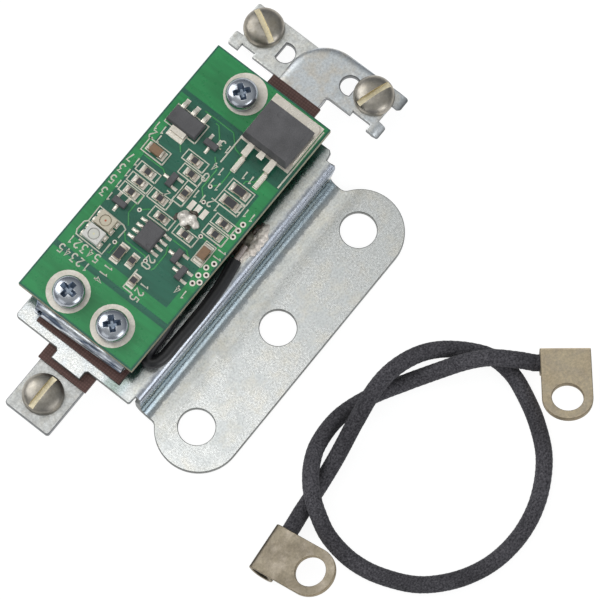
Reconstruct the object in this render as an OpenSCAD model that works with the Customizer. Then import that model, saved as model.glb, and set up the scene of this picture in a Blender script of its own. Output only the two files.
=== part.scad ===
// Battery monitor shunt: a small circuit board on a riveted stack of insulators and screw terminals,
// carried by a bent sheet bracket with a bolted flange, and a loose jumper lead with two flag lugs.
// Millimetres, +Z up, +X along the board from the single terminal to the paired ones. The origin is
// on the axis of the middle mounting hole, at the underside of the flange.

/* [Bracket] */
// Thickness of the bracket sheet
sheet_t = 1.2; // [0.8:0.1:2]
// Distance between neighbouring mounting holes
hole_pitch = 23.5; // [20:0.5:30]
// Diameter of the mounting holes
hole_d = 6.8; // [4:0.1:8]
// Radius of the flange ends
flange_end_r = 8.1; // [7:0.1:9]
// From the hole line to the outer edge of the flange
flange_edge = 8.6; // [8:0.1:14]
// From the hole line to the foot of the lower bend
flange_root = 7.4; // [6:0.1:12]
// Drop from the base plate down to the flange
joggle_drop = 6.2; // [5.4:0.1:12]
// Length of the bent wall between base plate and flange
joggle_l = 55.2; // [50:0.2:58]
// Inside radius of the bend at the base plate
upper_bend_r = 0.4; // [0.2:0.1:1]
// Inside radius of the bend at the flange
lower_bend_r = 2.2; // [1:0.1:2.6]
// Width of the flat base plate
base_w = 26.2; // [24:0.2:32]
// Overhang of the base plate past the board at the single terminal
base_overhang = 4; // [3:0.1:8]
// Setback of the base plate behind the board at the paired terminals
base_setback = 1.6; // [0:0.1:2]
// Corner radius of the base plate
base_corner_r = 1.2; // [0.5:0.1:3]
// Width of the tab on the end of the base plate
tab_w = 6.5; // [4:0.1:8]
// Length of the tab on the end of the base plate
tab_l = 2; // [1:0.1:2.6]

/* [Board] */
// Length of the circuit board
board_l = 57.1; // [57:0.1:64]
// Width of the circuit board
board_w = 26; // [25.5:0.1:34]
// Thickness of the circuit board
board_t = 1.6; // [0.8:0.1:2.4]
// From the middle mounting hole to the board's near end
board_near = 24.8; // [22:0.1:28]
// From the hole line to the board's edge
board_edge = 13.5; // [12:0.1:15]
// From the board's near end to its two front screws
front_screw_inset = 4.1; // [3.5:0.1:5]
// From the board's far end to its rear screw
rear_screw_inset = 5; // [3.5:0.1:5.5]
// Diameter of the board screws' shanks
board_screw_d = 3; // [2:0.1:3.5]
// Diameter of the board screws' heads
board_head_d = 6; // [5:0.1:7]
// Height of the board screws' heads
board_head_h = 2.2; // [1.6:0.1:3]
// Length of the board screws from the board's top down
board_screw_l = 3; // [2.6:0.1:3.4]
// Outer diameter of the lock washers under the board screws
washer_d = 5.7; // [5:0.1:6.5]
// Thickness of the lock washers
washer_t = 1; // [0.6:0.1:1.4]

/* [Terminal stack] */
// From the hole line to the centre line of the stack
stack_line = 24.2; // [22:0.1:26]
// Thickness of each insulator
insulator_t = 0.8; // [0.5:0.1:1.2]
// Width of the insulator under the base plate
lower_insulator_w = 10.9; // [10:0.1:14]
// Reach of the lower insulator past the base plate
lower_insulator_near = 3.1; // [2.8:0.1:5]
// Reach of the lower insulator past the board
lower_insulator_far = 3.7; // [3:0.1:4.4]
// Width of the insulator on the base plate
upper_insulator_w = 19; // [16:0.2:22]
// Margin of the base plate at the near end of the upper insulator
upper_insulator_near = 1.6; // [1:0.1:2.5]
// Margin of the base plate at the far end of the upper insulator
upper_insulator_far = 0.4; // [0.2:0.1:0.6]
// Thickness of the shunt strip
shunt_t = 0.8; // [0.4:0.1:1.5]
// Width of the shunt strip
shunt_w = 14; // [10:0.2:15]
// Thickness of the folded stands
stand_t = 0.8; // [0.5:0.1:1]
// Height of the folded stands
stand_h = 2.8; // [2.6:0.1:5]
// Length of the folded stands along the board
stand_l = 10.2; // [9.6:0.1:11]
// Width of the stand under the two board screws
front_stand_w = 20.4; // [18:0.2:22]
// Width of the stand under the single board screw
rear_stand_w = 15; // [14:0.2:18]
// Bulge of the front stand past the end of the board
front_stand_bulge = 1.5; // [0.5:0.1:2]
// How far the front stand is turned askew on its rivets, in degrees
front_stand_turn = 2.4; // [0:0.1:3]
// Diameter of the rivets through the stack
rivet_d = 2.9; // [2:0.1:3.2]
// Diameter of the rivet heads
rivet_head_d = 3.8; // [3.4:0.1:4.2]
// Height of the rivet heads
rivet_head_h = 0.7; // [0.4:0.1:0.9]
// Wall of the insulating bushings round the rivets
bushing_wall = 0.8; // [0.4:0.1:0.8]

/* [Terminals] */
// Thickness of the terminal plates
terminal_t = 1.5; // [1:0.1:1.8]
// Width of the single terminal
near_terminal_w = 10; // [9:0.1:12]
// Reach of the single terminal past the base plate
near_terminal_reach = 13.3; // [12:0.1:18]
// From the end of the single terminal to its screw
near_screw_inset = 5.4; // [4.6:0.1:6]
// Width of the paired terminals where they leave the stack
neck_w = 9.2; // [8:0.1:10]
// Width of the arms of the paired terminals
arm_w = 8.1; // [7.8:0.1:10]
// Step in the inner edge of the arms
arm_step = 0.9; // [0.3:0.1:1.5]
// From the stack's centre line to the end of the arms
arm_end = 15; // [14.6:0.1:18]
// Radius of the outer corner of the arms
arm_corner_r = 7.8; // [4:0.1:8]
// Width of the locating ears
ear_w = 2.8; // [2:0.1:3.2]
// Reach of the locating ears past the arm
ear_l = 1.6; // [1:0.1:2.4]
// From the end of the board to the middle of the right terminal's arm
right_arm_reach = 11.4; // [11:0.1:14]
// From the stack's centre line to the right terminal's screw
right_screw_side = 11.4; // [11.2:0.1:12]
// From the end of the board to the middle of the left terminal's arm
left_arm_reach = 9.3; // [9:0.1:12]
// From the stack's centre line to the left terminal's screw
left_screw_side = 12.8; // [11.2:0.1:12.9]
// Diameter of the D-shaped window in the arms
window_d = 3.8; // [2.5:0.1:4.2]
// Diameter of the terminal screws' shanks
terminal_screw_d = 3.6; // [3:0.1:3.8]
// Diameter of the terminal screws' heads
terminal_head_d = 7.7; // [6.5:0.1:7.8]
// Height of the terminal screws' heads
terminal_head_h = 2.3; // [1.8:0.1:3]
// Length of the terminal screws under their heads
terminal_screw_l = 3.5; // [2.5:0.1:3.6]
// Width of the screwdriver slots
slot_w = 1; // [0.6:0.1:1.4]
// Depth of the screwdriver slots
slot_depth = 1; // [0.5:0.1:1.4]

/* [Components] */
// Length of the power transistor's body along the board
power_l = 8.5; // [7:0.1:9]
// Width of the power transistor's body
power_w = 10.1; // [9:0.1:10.6]
// Height of the power transistor's body
power_h = 4.4; // [3:0.1:5]
// Length of the driver transistor's body across the board
driver_l = 6.7; // [5.5:0.1:7]
// Width of the driver transistor's body
driver_w = 3.5; // [3:0.1:3.7]
// Height of the driver transistor's body
driver_h = 1.6; // [1.2:0.1:2]
// Length of the control chip's body
chip_l = 5; // [4.6:0.1:5.2]
// Width of the control chip's body
chip_w = 3.8; // [3.2:0.1:4]
// Height of the control chip's body
chip_h = 1.5; // [1:0.1:2]
// Pitch of the control chip's leads
chip_pitch = 1.27; // [1:0.01:1.3]
// Length of the small transistors' bodies
small_l = 2.9; // [2.4:0.1:3]
// Width of the small transistors' bodies
small_w = 1.3; // [1:0.1:1.5]
// Height of the small transistors' bodies
small_h = 1; // [0.7:0.1:1.3]
// Length of the chip resistors
resistor_l = 2.1; // [1.6:0.1:2.4]
// Width of the chip resistors
resistor_w = 1.3; // [0.8:0.1:1.5]
// Height of the chip resistors
resistor_h = 0.6; // [0.4:0.1:0.8]
// Length of the wide chip resistors
wide_resistor_l = 3.2; // [2.8:0.1:3.5]
// Width of the wide chip resistors
wide_resistor_w = 1.6; // [1.3:0.1:1.9]
// Length of the chip capacitors
capacitor_l = 3.2; // [2.6:0.1:3.6]
// Width of the chip capacitors
capacitor_w = 1.6; // [1.2:0.1:2]
// Height of the chip capacitors
capacitor_h = 1.2; // [0.8:0.1:1.6]
// Length of the lamp housings
lamp_l = 3.4; // [3:0.1:3.6]
// Width of the lamp housings
lamp_w = 2.8; // [2.6:0.1:3]
// Height of the lamp housings
lamp_h = 1.6; // [1.2:0.1:2]
// Diameter of the lamp lenses
lens_d = 2.2; // [1.6:0.1:2.4]

/* [Wires] */
// Diameter of the ground wire's insulation
ground_wire_d = 2.4; // [1.6:0.1:2.4]
// Diameter of the ground wire's bare ends
ground_core_d = 1.1; // [0.6:0.1:1.4]
// Diameter of the jumper cable
jumper_d = 3.2; // [2.6:0.1:3.2]
// Thickness of the jumper's lugs
lug_t = 0.9; // [0.6:0.1:1.2]
// Width of the jumper's lugs
lug_w = 9.2; // [8:0.1:11]
// Diameter of the hole in each lug
lug_hole_d = 5.7; // [4:0.1:6.5]
// From the tangent of the lug's barrel to its hole
lug_reach = 8.7; // [7:0.1:11]
// Angle by which the stiff cable's twist holds the lugs' tongues up
lug_raise = 19; // [0:1:30]

/* [Clearances] */
// Radial clearance of the screws in their terminals
screw_clearance = 0.05; // [0.02:0.01:0.1]
// Gap under the heads of the screws
seat_gap = 0.05; // [0.02:0.01:0.1]
// Radial clearance of fixed rivets, bushings and board screws
fit_clearance = 0.05; // [0.02:0.01:0.15]
// Radial clearance of the jumper cable in its barrels
barrel_clearance = 0.1; // [0.05:0.05:0.3]

/* [Hidden] */
$fn = 48;

// Levels of the stack, from the mounting face up
base_top = joggle_drop + sheet_t;
terminal_top = joggle_drop - insulator_t;
near_terminal_z = terminal_top - terminal_t;
right_terminal_z = terminal_top - terminal_t;
left_terminal_z = right_terminal_z - terminal_t;
shunt_z = base_top + insulator_t;
stand_z = shunt_z + shunt_t;
board_z = stand_z + stand_h;
board_top = board_z + board_t;

// Ends of the board and of the base plate along X
board_far = board_l - board_near;
base_near_x = -board_near - base_overhang;
base_far_x = board_far - base_setback;
base_l = base_far_x - base_near_x;

// The bent wall, from the foot of the lower bend inwards
wall_y = flange_root + lower_bend_r;
base_y = wall_y + sheet_t + upper_bend_r;

// Places of the screws on the board, from its near corner at the flange side
near_front_screw_side = 7.6;
far_front_screw_side = 17.6;
rear_screw_side = 16.5;
front_screw_places = [for (y = [near_front_screw_side, far_front_screw_side]) [front_screw_inset, y]];
rear_screw_place = [board_l - rear_screw_inset, rear_screw_side];
board_screw_places = concat(front_screw_places, [rear_screw_place]);

// Ends of the stands; the front one folds past the board's end, the rear one stays inside it
front_stand_margin = 2;
rear_stand_setback = 0.8;
rear_stand_side = 4.7;
front_stand_x = -board_near - front_stand_bulge;
rear_stand_x = board_far - rear_stand_setback;
front_stand_y = board_edge + front_stand_margin;
rear_stand_y = stack_line - rear_stand_side;

// Rivets through each stand and terminal, on the centre line of the stack
rivet_from_fold = 3.4;
rivet_spacing = 5;
front_rivet_xs = [front_stand_x + rivet_from_fold, front_stand_x + rivet_from_fold + rivet_spacing];
rear_rivet_xs = [rear_stand_x - rivet_from_fold, rear_stand_x - rivet_from_fold - rivet_spacing];
rivet_xs = concat(front_rivet_xs, rear_rivet_xs);
rivet_hole_d = rivet_d + 2 * fit_clearance;
bushing_d = rivet_hole_d + 2 * bushing_wall;
rivet_edge = 2.8;

// Screws of the terminals
near_terminal_x = base_near_x - near_terminal_reach;
near_screw_side = 0.4;
right_screw_out = 0.5;
left_screw_out = 0.7;
right_arm_x = board_far + right_arm_reach;
left_arm_x = board_far + left_arm_reach;
near_screw = [near_terminal_x + near_screw_inset, stack_line + near_screw_side];
right_screw = [right_arm_x + right_screw_out, stack_line - right_screw_side];
left_screw = [left_arm_x + left_screw_out, stack_line + left_screw_side];
near_slot_angle = 0;
right_slot_angle = -18;
left_slot_angle = 62;
screw_hole_d = terminal_screw_d + 2 * screw_clearance;
ear_bend = 35;
ear_corner_r = 0.5;
right_step_side = 10.1;
left_step_side = 11.1;
window_offset = 0.6;
window_from_neck = 0.3;
near_corner_r = 0.6;

// Places of the components on the board: x, y, turn
power_place = [50.1, 6.5];
driver_place = [41.8, 21.2];
chip_place = [21.2, 13];
small_places = [[22.8, 21.2, 90], [31.9, 16.5, 0], [41.4, 15.1, 90], [21.4, 6.8, 0], [19.4, 4.3, 0]];
resistor_places = [[25.6, 20.8, 90], [28, 20.8, 90], [30.4, 20.8, 90], [27.9, 16, 90], [31.4, 13.1, 0],
    [34.9, 14.4, 90], [37.3, 15.5, 90], [25.3, 13.5, 90], [25.4, 8.2, 90], [28.8, 4, 90],
    [31.3, 4, 90], [15.8, 12.6, 0], [13.1, 10.1, 0]];
wide_resistor_places = [[35.1, 5.6, 90], [37.8, 5.6, 90], [15.5, 15.3, 0]];
capacitor_places = [[34.4, 22.1, 90], [24.7, 3.4, 0]];
green_lamp_place = [15.2, 20.9];
red_lamp_place = [18.4, 20.8];
lamp_places = [green_lamp_place, red_lamp_place];
bridge_place = [28, 9.6];

// Sheet thicknesses and feet of the component leads
lead_t = 0.2;
lead_foot = 0.8;
power_lead_t = 0.5;
power_lead_pitch = 2.54;
driver_lead_pitch = 2.3;
small_lead_pitch = 1.9;
power_lead_rise = 1.6;
power_lead_w = 1.3;
power_lead_l = 2.7;
power_stub_l = 1.5;
power_foot_w = 0.8;
power_foot_l = 3.1;
power_tab_past = 2;
power_tab_l = 8.7;
power_tab_side = 0.2;
power_tab_chamfer = 0.8;
driver_lead_out = 1.9;
driver_lead_w = 0.75;
driver_tab_w = 3.1;
chip_lead_out = 1.3;
small_lead_out = 1;
fine_lead_w = 0.45;
lamp_lead_w = 0.8;
lamp_lead_l = 0.5;
lamp_lead_gap = 0.8;
lens_depth = 0.8;
lens_recess = 0.1;
end_cap_l = 0.45;

// Moulded bodies: draft, height of the parting line as a share, and gap under the body
mould_draft = 0.25;
parting_share = 0.45;
mould_gap = 0.1;
edge_t = 0.02;
ejector_mark_d = 1.2;
first_lead_mark_d = 0.7;
mark_depth = 0.1;

// Screw heads: share of the straight rim, and the cross recess of the board screws
rim_share = 0.4;
recess_w = 0.8;
recess_depth = 1.1;
recess_turns = [46, 84, 52];
washer_clearance = 0.1;
washer_gap = 0.7;
washer_gap_turn = -60;
cut = 1;

// Solder: foot radius and height of each dome
bridge_dome_r = 1.3;
bridge_dome_h = 1;
bridge_dome_side = 1;
bracket_dome_r = 1.7;
bracket_dome_h = 1.7;
bracket_tail_r = 1.4;
bracket_tail_h = 1.2;
bracket_tail_x = 2.2;
board_dome_r = 1.5;
board_dome_h = 1.3;

// Route of the ground wire, from the bracket round to the underside of the board
ground_route = [[3.5, 12.6, 8.7], [-1.5, 11.7, 8.8], [-6.5, 11.3, 9], [-11, 11.2, 9.3], [-15.5, 11.2, 9.5],
    [-18.2, 11.2, 9.5], [-20, 11.7, 9.5], [-20.9, 12.7, 9.5], [-20.2, 13.8, 9.5], [-18.4, 14.1, 9.5],
    [-15.5, 14.2, 9.6], [-12.5, 14.6, 9.9], [-10.6, 15.6, 10.2]];
bracket_joint = [6.8, 12.9];
board_joint = [-9.4, 16.2];

// Route of the jumper cable on the mounting face, from inside lug A's barrel to inside lug B's
jumper_route = [[29.1, -47.75, 3], [23.9, -41.3, 3], [23.1, -40.2, 3.2], [21.5, -38, 4.6], [18.8, -34.2, 5.2],
    [15.5, -31, 4.7], [11, -27.6, 2.8], [5.5, -24, 1.6], [0, -21, 1.6], [-6.3, -19, 1.7], [-12.5, -19.3, 2.8],
    [-17, -21.2, 4.5], [-20.5, -24, 5.2], [-23, -27.4, 4.7], [-24.8, -31.5, 2.8], [-25.4, -37, 1.6],
    [-24.5, -42.5, 1.6], [-21.5, -49, 1.6], [-16.3, -54, 1.6], [-10, -57, 1.6], [-3, -57.8, 1.6],
    [4, -56.4, 1.6], [10.6, -52.7, 1.6], [15, -47.7, 1.6], [18, -42.4, 1.6], [19.6, -37.9, 1.6],
    [19.5, -33, 1.6], [16.5, -27.6, 2.2], [12.3, -23.9, 3.8], [7, -21.8, 4.9], [1.5, -21.3, 5.1],
    [-5.8, -22.3, 4.6], [-12.5, -23.4, 2.8], [-18.5, -24.1, 1.6], [-24, -24.6, 1.7],
    [-28.5, -25.25, 2.3], [-36.4, -26, 2.3]];
barrel_wall = 0.6;
barrel_d = jumper_d + 2 * (barrel_clearance + barrel_wall);
lug_past_cable = 1;

// Direction of a step along a route
function unit(v) = v / norm(v);
function heading(route, i) = unit(route[min(i + 1, len(route) - 1)] - route[max(i - 1, 0)]);

// One ring of a tube round a point of its route
function ring(centre, along, r, sides) =
    let (side = unit(cross(along, [0, 0, 1])), up = cross(side, along))
    [for (k = [0 : sides - 1]) let (a = 360 * (k + 0.5) / sides) centre + r * (cos(a) * side + sin(a) * up)];

// A round tube swept along a route, closed at both ends
module tube(route, d, sides = 8) {
    rings = len(route);
    corners = [for (i = [0 : rings - 1]) each ring(route[i], heading(route, i), d / 2, sides)];
    walls = [for (i = [0 : rings - 2], k = [0 : sides - 1])
        let (a = i * sides + k, b = i * sides + (k + 1) % sides)
        each [[a, b, b + sides], [a, b + sides, a + sides]]];
    first_cap = [[for (k = [sides - 1 : -1 : 0]) k]];
    last_cap = [[for (k = [0 : sides - 1]) (rings - 1) * sides + k]];
    polyhedron(corners, concat(walls, first_cap, last_cap), convexity = 8);
}

// A flat plate with round corners, from one corner
module round_plate(size, r, t) {
    linear_extrude(t) round_rectangle(size, r);
}

module round_rectangle(size, r) {
    translate([r, 0]) square([size.x - 2 * r, size.y]);
    translate([0, r]) square([size.x, size.y - 2 * r]);
    for (x = [r, size.x - r], y = [r, size.y - r]) translate([x, y]) circle(r);
}

// Quarter of a bent sheet's section, opening towards the given signs of x and y
module bend_section(inner_r, t, sx, sy) {
    outer_r = inner_r + t;
    intersection() {
        difference() {
            circle(outer_r);
            circle(inner_r);
        }
        translate([sx < 0 ? -outer_r : 0, sy < 0 ? -outer_r : 0]) square(outer_r);
    }
}

// Holes through a level of the stack at every rivet of a list
module rivet_holes(xs, d) {
    for (x = xs) translate([x, stack_line]) circle(d = d);
}

// Puts a component's own frame on top of the board
module on_board(place) {
    translate([place.x - board_near, place.y + board_edge, board_top]) rotate(len(place) > 2 ? place[2] : 0)
        children();
}

// Bent sheet bracket: base plate with its tab, bent wall and flange with three mounting holes
module mounting_bracket() color("gainsboro") {
    difference() {
        union() {
            translate([base_near_x, base_y, joggle_drop])
                round_plate([base_l, base_w], base_corner_r, sheet_t);
            translate([base_near_x - tab_l, stack_line - tab_w / 2, joggle_drop])
                cube([tab_l + base_corner_r, tab_w, sheet_t]);
            translate([-joggle_l / 2, base_y, joggle_drop]) cube([joggle_l, base_corner_r, sheet_t]);
        }
        translate([0, 0, joggle_drop - cut]) linear_extrude(sheet_t + 2 * cut)
            rivet_holes(rivet_xs, bushing_d + 2 * fit_clearance);
    }
    translate([-joggle_l / 2, 0, 0]) rotate([90, 0, 90]) linear_extrude(joggle_l) {
        translate([base_y, joggle_drop - upper_bend_r]) bend_section(upper_bend_r, sheet_t, -1, 1);
        translate([wall_y, sheet_t + lower_bend_r])
            square([sheet_t, joggle_drop - upper_bend_r - sheet_t - lower_bend_r]);
        translate([flange_root, sheet_t + lower_bend_r]) bend_section(lower_bend_r, sheet_t, 1, -1);
    }
    linear_extrude(sheet_t) difference() {
        union() {
            translate([-hole_pitch, -flange_edge]) square([2 * hole_pitch, flange_edge + flange_root]);
            translate([-joggle_l / 2, 0]) square([joggle_l, flange_root]);
            for (x = [-hole_pitch, hole_pitch]) translate([x, flange_end_r - flange_edge])
                circle(flange_end_r);
        }
        for (x = [-hole_pitch, 0, hole_pitch]) translate([x, 0]) circle(d = hole_d);
    }
}

// Insulator between the base plate and the terminals, showing past both ends
module lower_insulator() color("saddlebrown") {
    near_x = base_near_x - lower_insulator_near;
    translate([0, 0, terminal_top]) linear_extrude(insulator_t) difference() {
        translate([near_x, stack_line - lower_insulator_w / 2])
            square([board_far + lower_insulator_far - near_x, lower_insulator_w]);
        rivet_holes(rivet_xs, rivet_hole_d);
    }
}

// Insulator between the base plate and the shunt strip
module upper_insulator() color("saddlebrown") {
    near_x = base_near_x + upper_insulator_near;
    translate([0, 0, base_top]) linear_extrude(insulator_t) difference() {
        translate([near_x, stack_line - upper_insulator_w / 2])
            square([base_far_x - upper_insulator_far - near_x, upper_insulator_w]);
        rivet_holes(rivet_xs, rivet_hole_d);
    }
}

// Single terminal plate at the near end
module near_terminal() color("silver") {
    inner_x = max(front_rivet_xs) + rivet_edge;
    translate([0, 0, near_terminal_z]) linear_extrude(terminal_t) difference() {
        translate([near_terminal_x, stack_line - near_terminal_w / 2])
            round_rectangle([inner_x - near_terminal_x, near_terminal_w], near_corner_r);
        translate(near_screw) circle(d = screw_hole_d);
        rivet_holes(front_rivet_xs, rivet_hole_d);
    }
}

// Outline of a paired terminal whose arm turns off towards +Y from the stack's centre line
module arm_outline(arm_x, step_y, screw) {
    inner_x = min(rear_rivet_xs) - rivet_edge;
    outer_x = arm_x + arm_w / 2;
    edge_x = arm_x - arm_w / 2;
    step_x = edge_x - arm_step;
    corner = [outer_x - arm_corner_r, arm_corner_r - neck_w / 2];
    window = [arm_x - window_offset, neck_w / 2 + window_d / 2 + window_from_neck];
    difference() {
        union() {
            translate([inner_x, -neck_w / 2]) square([corner.x - inner_x, neck_w]);
            translate([step_x, -neck_w / 2]) square([corner.x - step_x, neck_w / 2 + step_y]);
            translate([step_x, corner.y]) square([outer_x - step_x, step_y - corner.y]);
            translate([edge_x, corner.y]) square([arm_w, arm_end - corner.y]);
            translate(corner) intersection() {
                circle(arm_corner_r);
                translate([0, -arm_corner_r]) square(arm_corner_r);
            }
            translate([outer_x - ear_w, arm_end - ear_w])
                round_rectangle([ear_w, ear_w + ear_l], ear_corner_r);
        }
        translate(screw) circle(d = screw_hole_d);
        translate(window) difference() {
            circle(d = window_d);
            translate([-window_d, window_d / 4]) square([2 * window_d, window_d]);
        }
        for (x = rear_rivet_xs) translate([x, 0]) circle(d = rivet_hole_d);
    }
}

// Locating ear at the inner edge of an arm, bent by the given angle
module bent_ear(arm_x, bend) {
    ear_x = arm_x - arm_w / 2 - ear_w / 2;
    translate([ear_x, arm_end - ear_l / 2, 0]) cube([ear_w, ear_l / 2, terminal_t]);
    translate([ear_x, arm_end, terminal_t / 2]) rotate([-bend, 0, 0])
        translate([0, -terminal_t / 4, -terminal_t / 2]) cube([ear_w, ear_l, terminal_t]);
}

// Right one of the paired terminals, on top of the left one
module rear_right_terminal() color("silver")
    translate([0, stack_line, right_terminal_z]) mirror([0, 1, 0]) {
        linear_extrude(terminal_t)
            arm_outline(right_arm_x, right_step_side, [right_screw.x, right_screw_side]);
        bent_ear(right_arm_x, ear_bend);
    }

// Left one of the paired terminals, under the right one
module rear_left_terminal() color("silver")
    translate([0, stack_line, left_terminal_z]) {
        linear_extrude(terminal_t)
            arm_outline(left_arm_x, left_step_side, [left_screw.x, left_screw_side]);
        bent_ear(left_arm_x, 0);
    }

// Resistive strip between the two ends of the stack
module shunt_strip() color("peru") {
    inset = stand_h / 2;
    near_x = front_stand_x + inset;
    translate([0, 0, shunt_z]) linear_extrude(shunt_t) difference() {
        translate([near_x, stack_line - shunt_w / 2]) square([rear_stand_x - inset - near_x, shunt_w]);
        rivet_holes(rivet_xs, rivet_hole_d);
    }
}

// Strip folded back on itself: its lower leg is riveted down and its upper leg takes the board screws.
// The fold is at x = 0 and the legs run towards +X. It may be turned about the middle of its rivets.
module folded_stand(w, screws, rivets, turn = 0) {
    fold_r = stand_h / 2;
    pivot = (rivets[0] + rivets[1]) / 2;
    difference() {
        translate(pivot) rotate(turn) translate(-pivot) {
            translate([0, w, 0]) rotate([90, 0, 0]) linear_extrude(w) translate([fold_r, fold_r])
                intersection() {
                    difference() {
                        circle(fold_r);
                        circle(fold_r - stand_t);
                    }
                    translate([-fold_r, -fold_r]) square([fold_r, 2 * fold_r]);
                }
            for (z = [0, stand_h - stand_t]) translate([fold_r, 0, z]) cube([stand_l - fold_r, w, stand_t]);
        }
        for (p = screws) translate([p.x, p.y, stand_h / 2])
            cylinder(d = board_screw_d + 2 * fit_clearance, h = stand_h);
        for (p = rivets) translate([p.x, p.y, -stand_h / 2]) cylinder(d = rivet_hole_d, h = stand_h);
    }
}

module front_stand() color("lightsteelblue") {
    screws = [for (p = front_screw_places)
        [p.x - board_near - front_stand_x, p.y + board_edge - front_stand_y]];
    rivets = [for (x = front_rivet_xs) [x - front_stand_x, stack_line - front_stand_y]];
    translate([front_stand_x, front_stand_y, stand_z]) folded_stand(front_stand_w, screws, rivets, front_stand_turn);
}

module rear_stand() color("lightsteelblue") {
    screw_x = rear_stand_x - (rear_screw_place.x - board_near);
    screws = [[screw_x, rear_screw_place.y + board_edge - rear_stand_y]];
    rivets = [for (x = rear_rivet_xs) [rear_stand_x - x, stack_line - rear_stand_y]];
    translate([rear_stand_x, rear_stand_y, stand_z]) mirror([1, 0, 0])
        folded_stand(rear_stand_w, screws, rivets);
}

// Rivets that clamp each end of the stack
module stack_rivets() color("darkgray") {
    for (x = front_rivet_xs) rivet(x, near_terminal_z);
    for (x = rear_rivet_xs) rivet(x, left_terminal_z);
}

module rivet(x, foot_z) {
    head_z = stand_z + stand_t;
    translate([x, stack_line, foot_z - rivet_head_h]) {
        cylinder(d = rivet_head_d, h = rivet_head_h);
        cylinder(d = rivet_d, h = head_z + rivet_head_h - foot_z);
    }
    translate([x, stack_line, head_z]) cylinder(d = rivet_head_d, h = rivet_head_h);
}

// Insulating rings that keep the rivets clear of the base plate
module rivet_bushings() color("tan")
    for (x = rivet_xs) translate([x, stack_line, joggle_drop]) difference() {
        cylinder(d = bushing_d, h = sheet_t);
        translate([0, 0, -cut]) cylinder(d = rivet_hole_d, h = sheet_t + 2 * cut);
    }

// Circuit board with its three screw holes
module circuit_board() color("green")
    translate([-board_near, board_edge, board_z]) difference() {
        cube([board_l, board_w, board_t]);
        for (p = board_screw_places) translate([p.x, p.y, -cut])
            cylinder(d = board_screw_d + 2 * fit_clearance, h = board_t + 2 * cut);
    }

// Split spring washers between the board and the heads of its screws
module board_washers() color("gainsboro")
    for (p = board_screw_places) on_board(p) difference() {
        cylinder(d = washer_d, h = washer_t);
        translate([0, 0, -cut]) cylinder(d = board_screw_d + 2 * washer_clearance, h = washer_t + 2 * cut);
        rotate(washer_gap_turn) translate([0, -washer_gap / 2, -cut])
            cube([washer_d, washer_gap, washer_t + 2 * cut]);
    }

// Round-headed screws with a cross recess that hold the board to the stands
module board_screws() color("lightgray")
    for (k = [0 : len(board_screw_places) - 1]) on_board(board_screw_places[k]) {
        translate([0, 0, washer_t]) difference() {
            pan_head(board_head_d, board_head_h);
            for (a = [0, 90]) rotate(recess_turns[k] + a)
                translate([-board_head_d / 4, -recess_w / 2, board_head_h - recess_depth])
                    cube([board_head_d / 2, recess_w, 2 * recess_depth]);
        }
        translate([0, 0, -board_screw_l]) cylinder(d = board_screw_d, h = board_screw_l + washer_t);
    }

// Low head with a straight rim and a domed top
module pan_head(d, h) {
    rim = h * rim_share;
    crown = h - rim;
    dome_r = (d * d / 4 + crown * crown) / (2 * crown);
    cylinder(d = d, h = rim);
    intersection() {
        translate([0, 0, h - dome_r]) sphere(dome_r);
        translate([0, 0, rim / 2]) cylinder(d = d, h = h);
    }
}

// Slotted screw of a terminal whose plate has its top at the given level
module terminal_screw(place, top, slot_angle) color("darkkhaki")
    translate([place.x, place.y, top + seat_gap]) {
        difference() {
            pan_head(terminal_head_d, terminal_head_h);
            rotate(slot_angle) translate([-terminal_head_d, -slot_w / 2, terminal_head_h - slot_depth])
                cube([2 * terminal_head_d, slot_w, 2 * slot_depth]);
        }
        translate([0, 0, -terminal_screw_l]) cylinder(d = terminal_screw_d, h = terminal_screw_l);
    }

module near_terminal_screw() terminal_screw(near_screw, terminal_top, near_slot_angle);

module rear_right_terminal_screw() terminal_screw(right_screw, terminal_top, right_slot_angle);

module rear_left_terminal_screw() terminal_screw(left_screw, right_terminal_z, left_slot_angle);

// Moulded body whose sides draw in above and below its parting line
module moulded(size, draft) {
    hull() {
        moulded_slice(size, 0, size.z * parting_share);
        moulded_slice(size, 2 * draft, size.z - edge_t);
        moulded_slice(size, draft, mould_gap);
    }
}

module moulded_slice(size, inset, z) {
    slice = [size.x - inset, size.y - inset, edge_t];
    translate([-slice.x / 2, -slice.y / 2, z]) cube(slice);
}

// Bent lead that leaves a body at the given height and stands on the board
module bent_lead(out, rise, w, t) {
    knee = out - lead_foot;
    translate([0, w / 2, 0]) rotate([90, 0, 0]) linear_extrude(w)
        polygon([[0, rise], [0, rise + t], [knee, rise + t], [knee, t], [out, t], [out, 0], [knee - t, 0],
            [knee - t, rise]]);
}

// Power transistor: body, and the metal frame with its tab and three leads
module power_transistor_body() color("dimgray") on_board(power_place) difference() {
    translate([0, 0, power_lead_t]) moulded([power_l, power_w, power_h - power_lead_t], 2 * mould_draft);
    translate([power_l * 0.3, power_w * 0.15, power_h - mark_depth]) cylinder(d = ejector_mark_d, h = cut);
}

module power_transistor_frame() color("whitesmoke") on_board(power_place) {
    far_x = power_l / 2 + power_tab_past;
    side = power_w / 2 + power_tab_side;
    linear_extrude(power_lead_t)
        polygon([[far_x - power_tab_l, -side], [far_x - power_tab_chamfer, -side],
            [far_x, power_tab_chamfer - side], [far_x, side - power_tab_chamfer],
            [far_x - power_tab_chamfer, side], [far_x - power_tab_l, side]]);
    for (k = [-1, 0, 1]) translate([-power_l / 2, k * power_lead_pitch, 0]) mirror([1, 0, 0])
        power_lead(k == 0);
}

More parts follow.
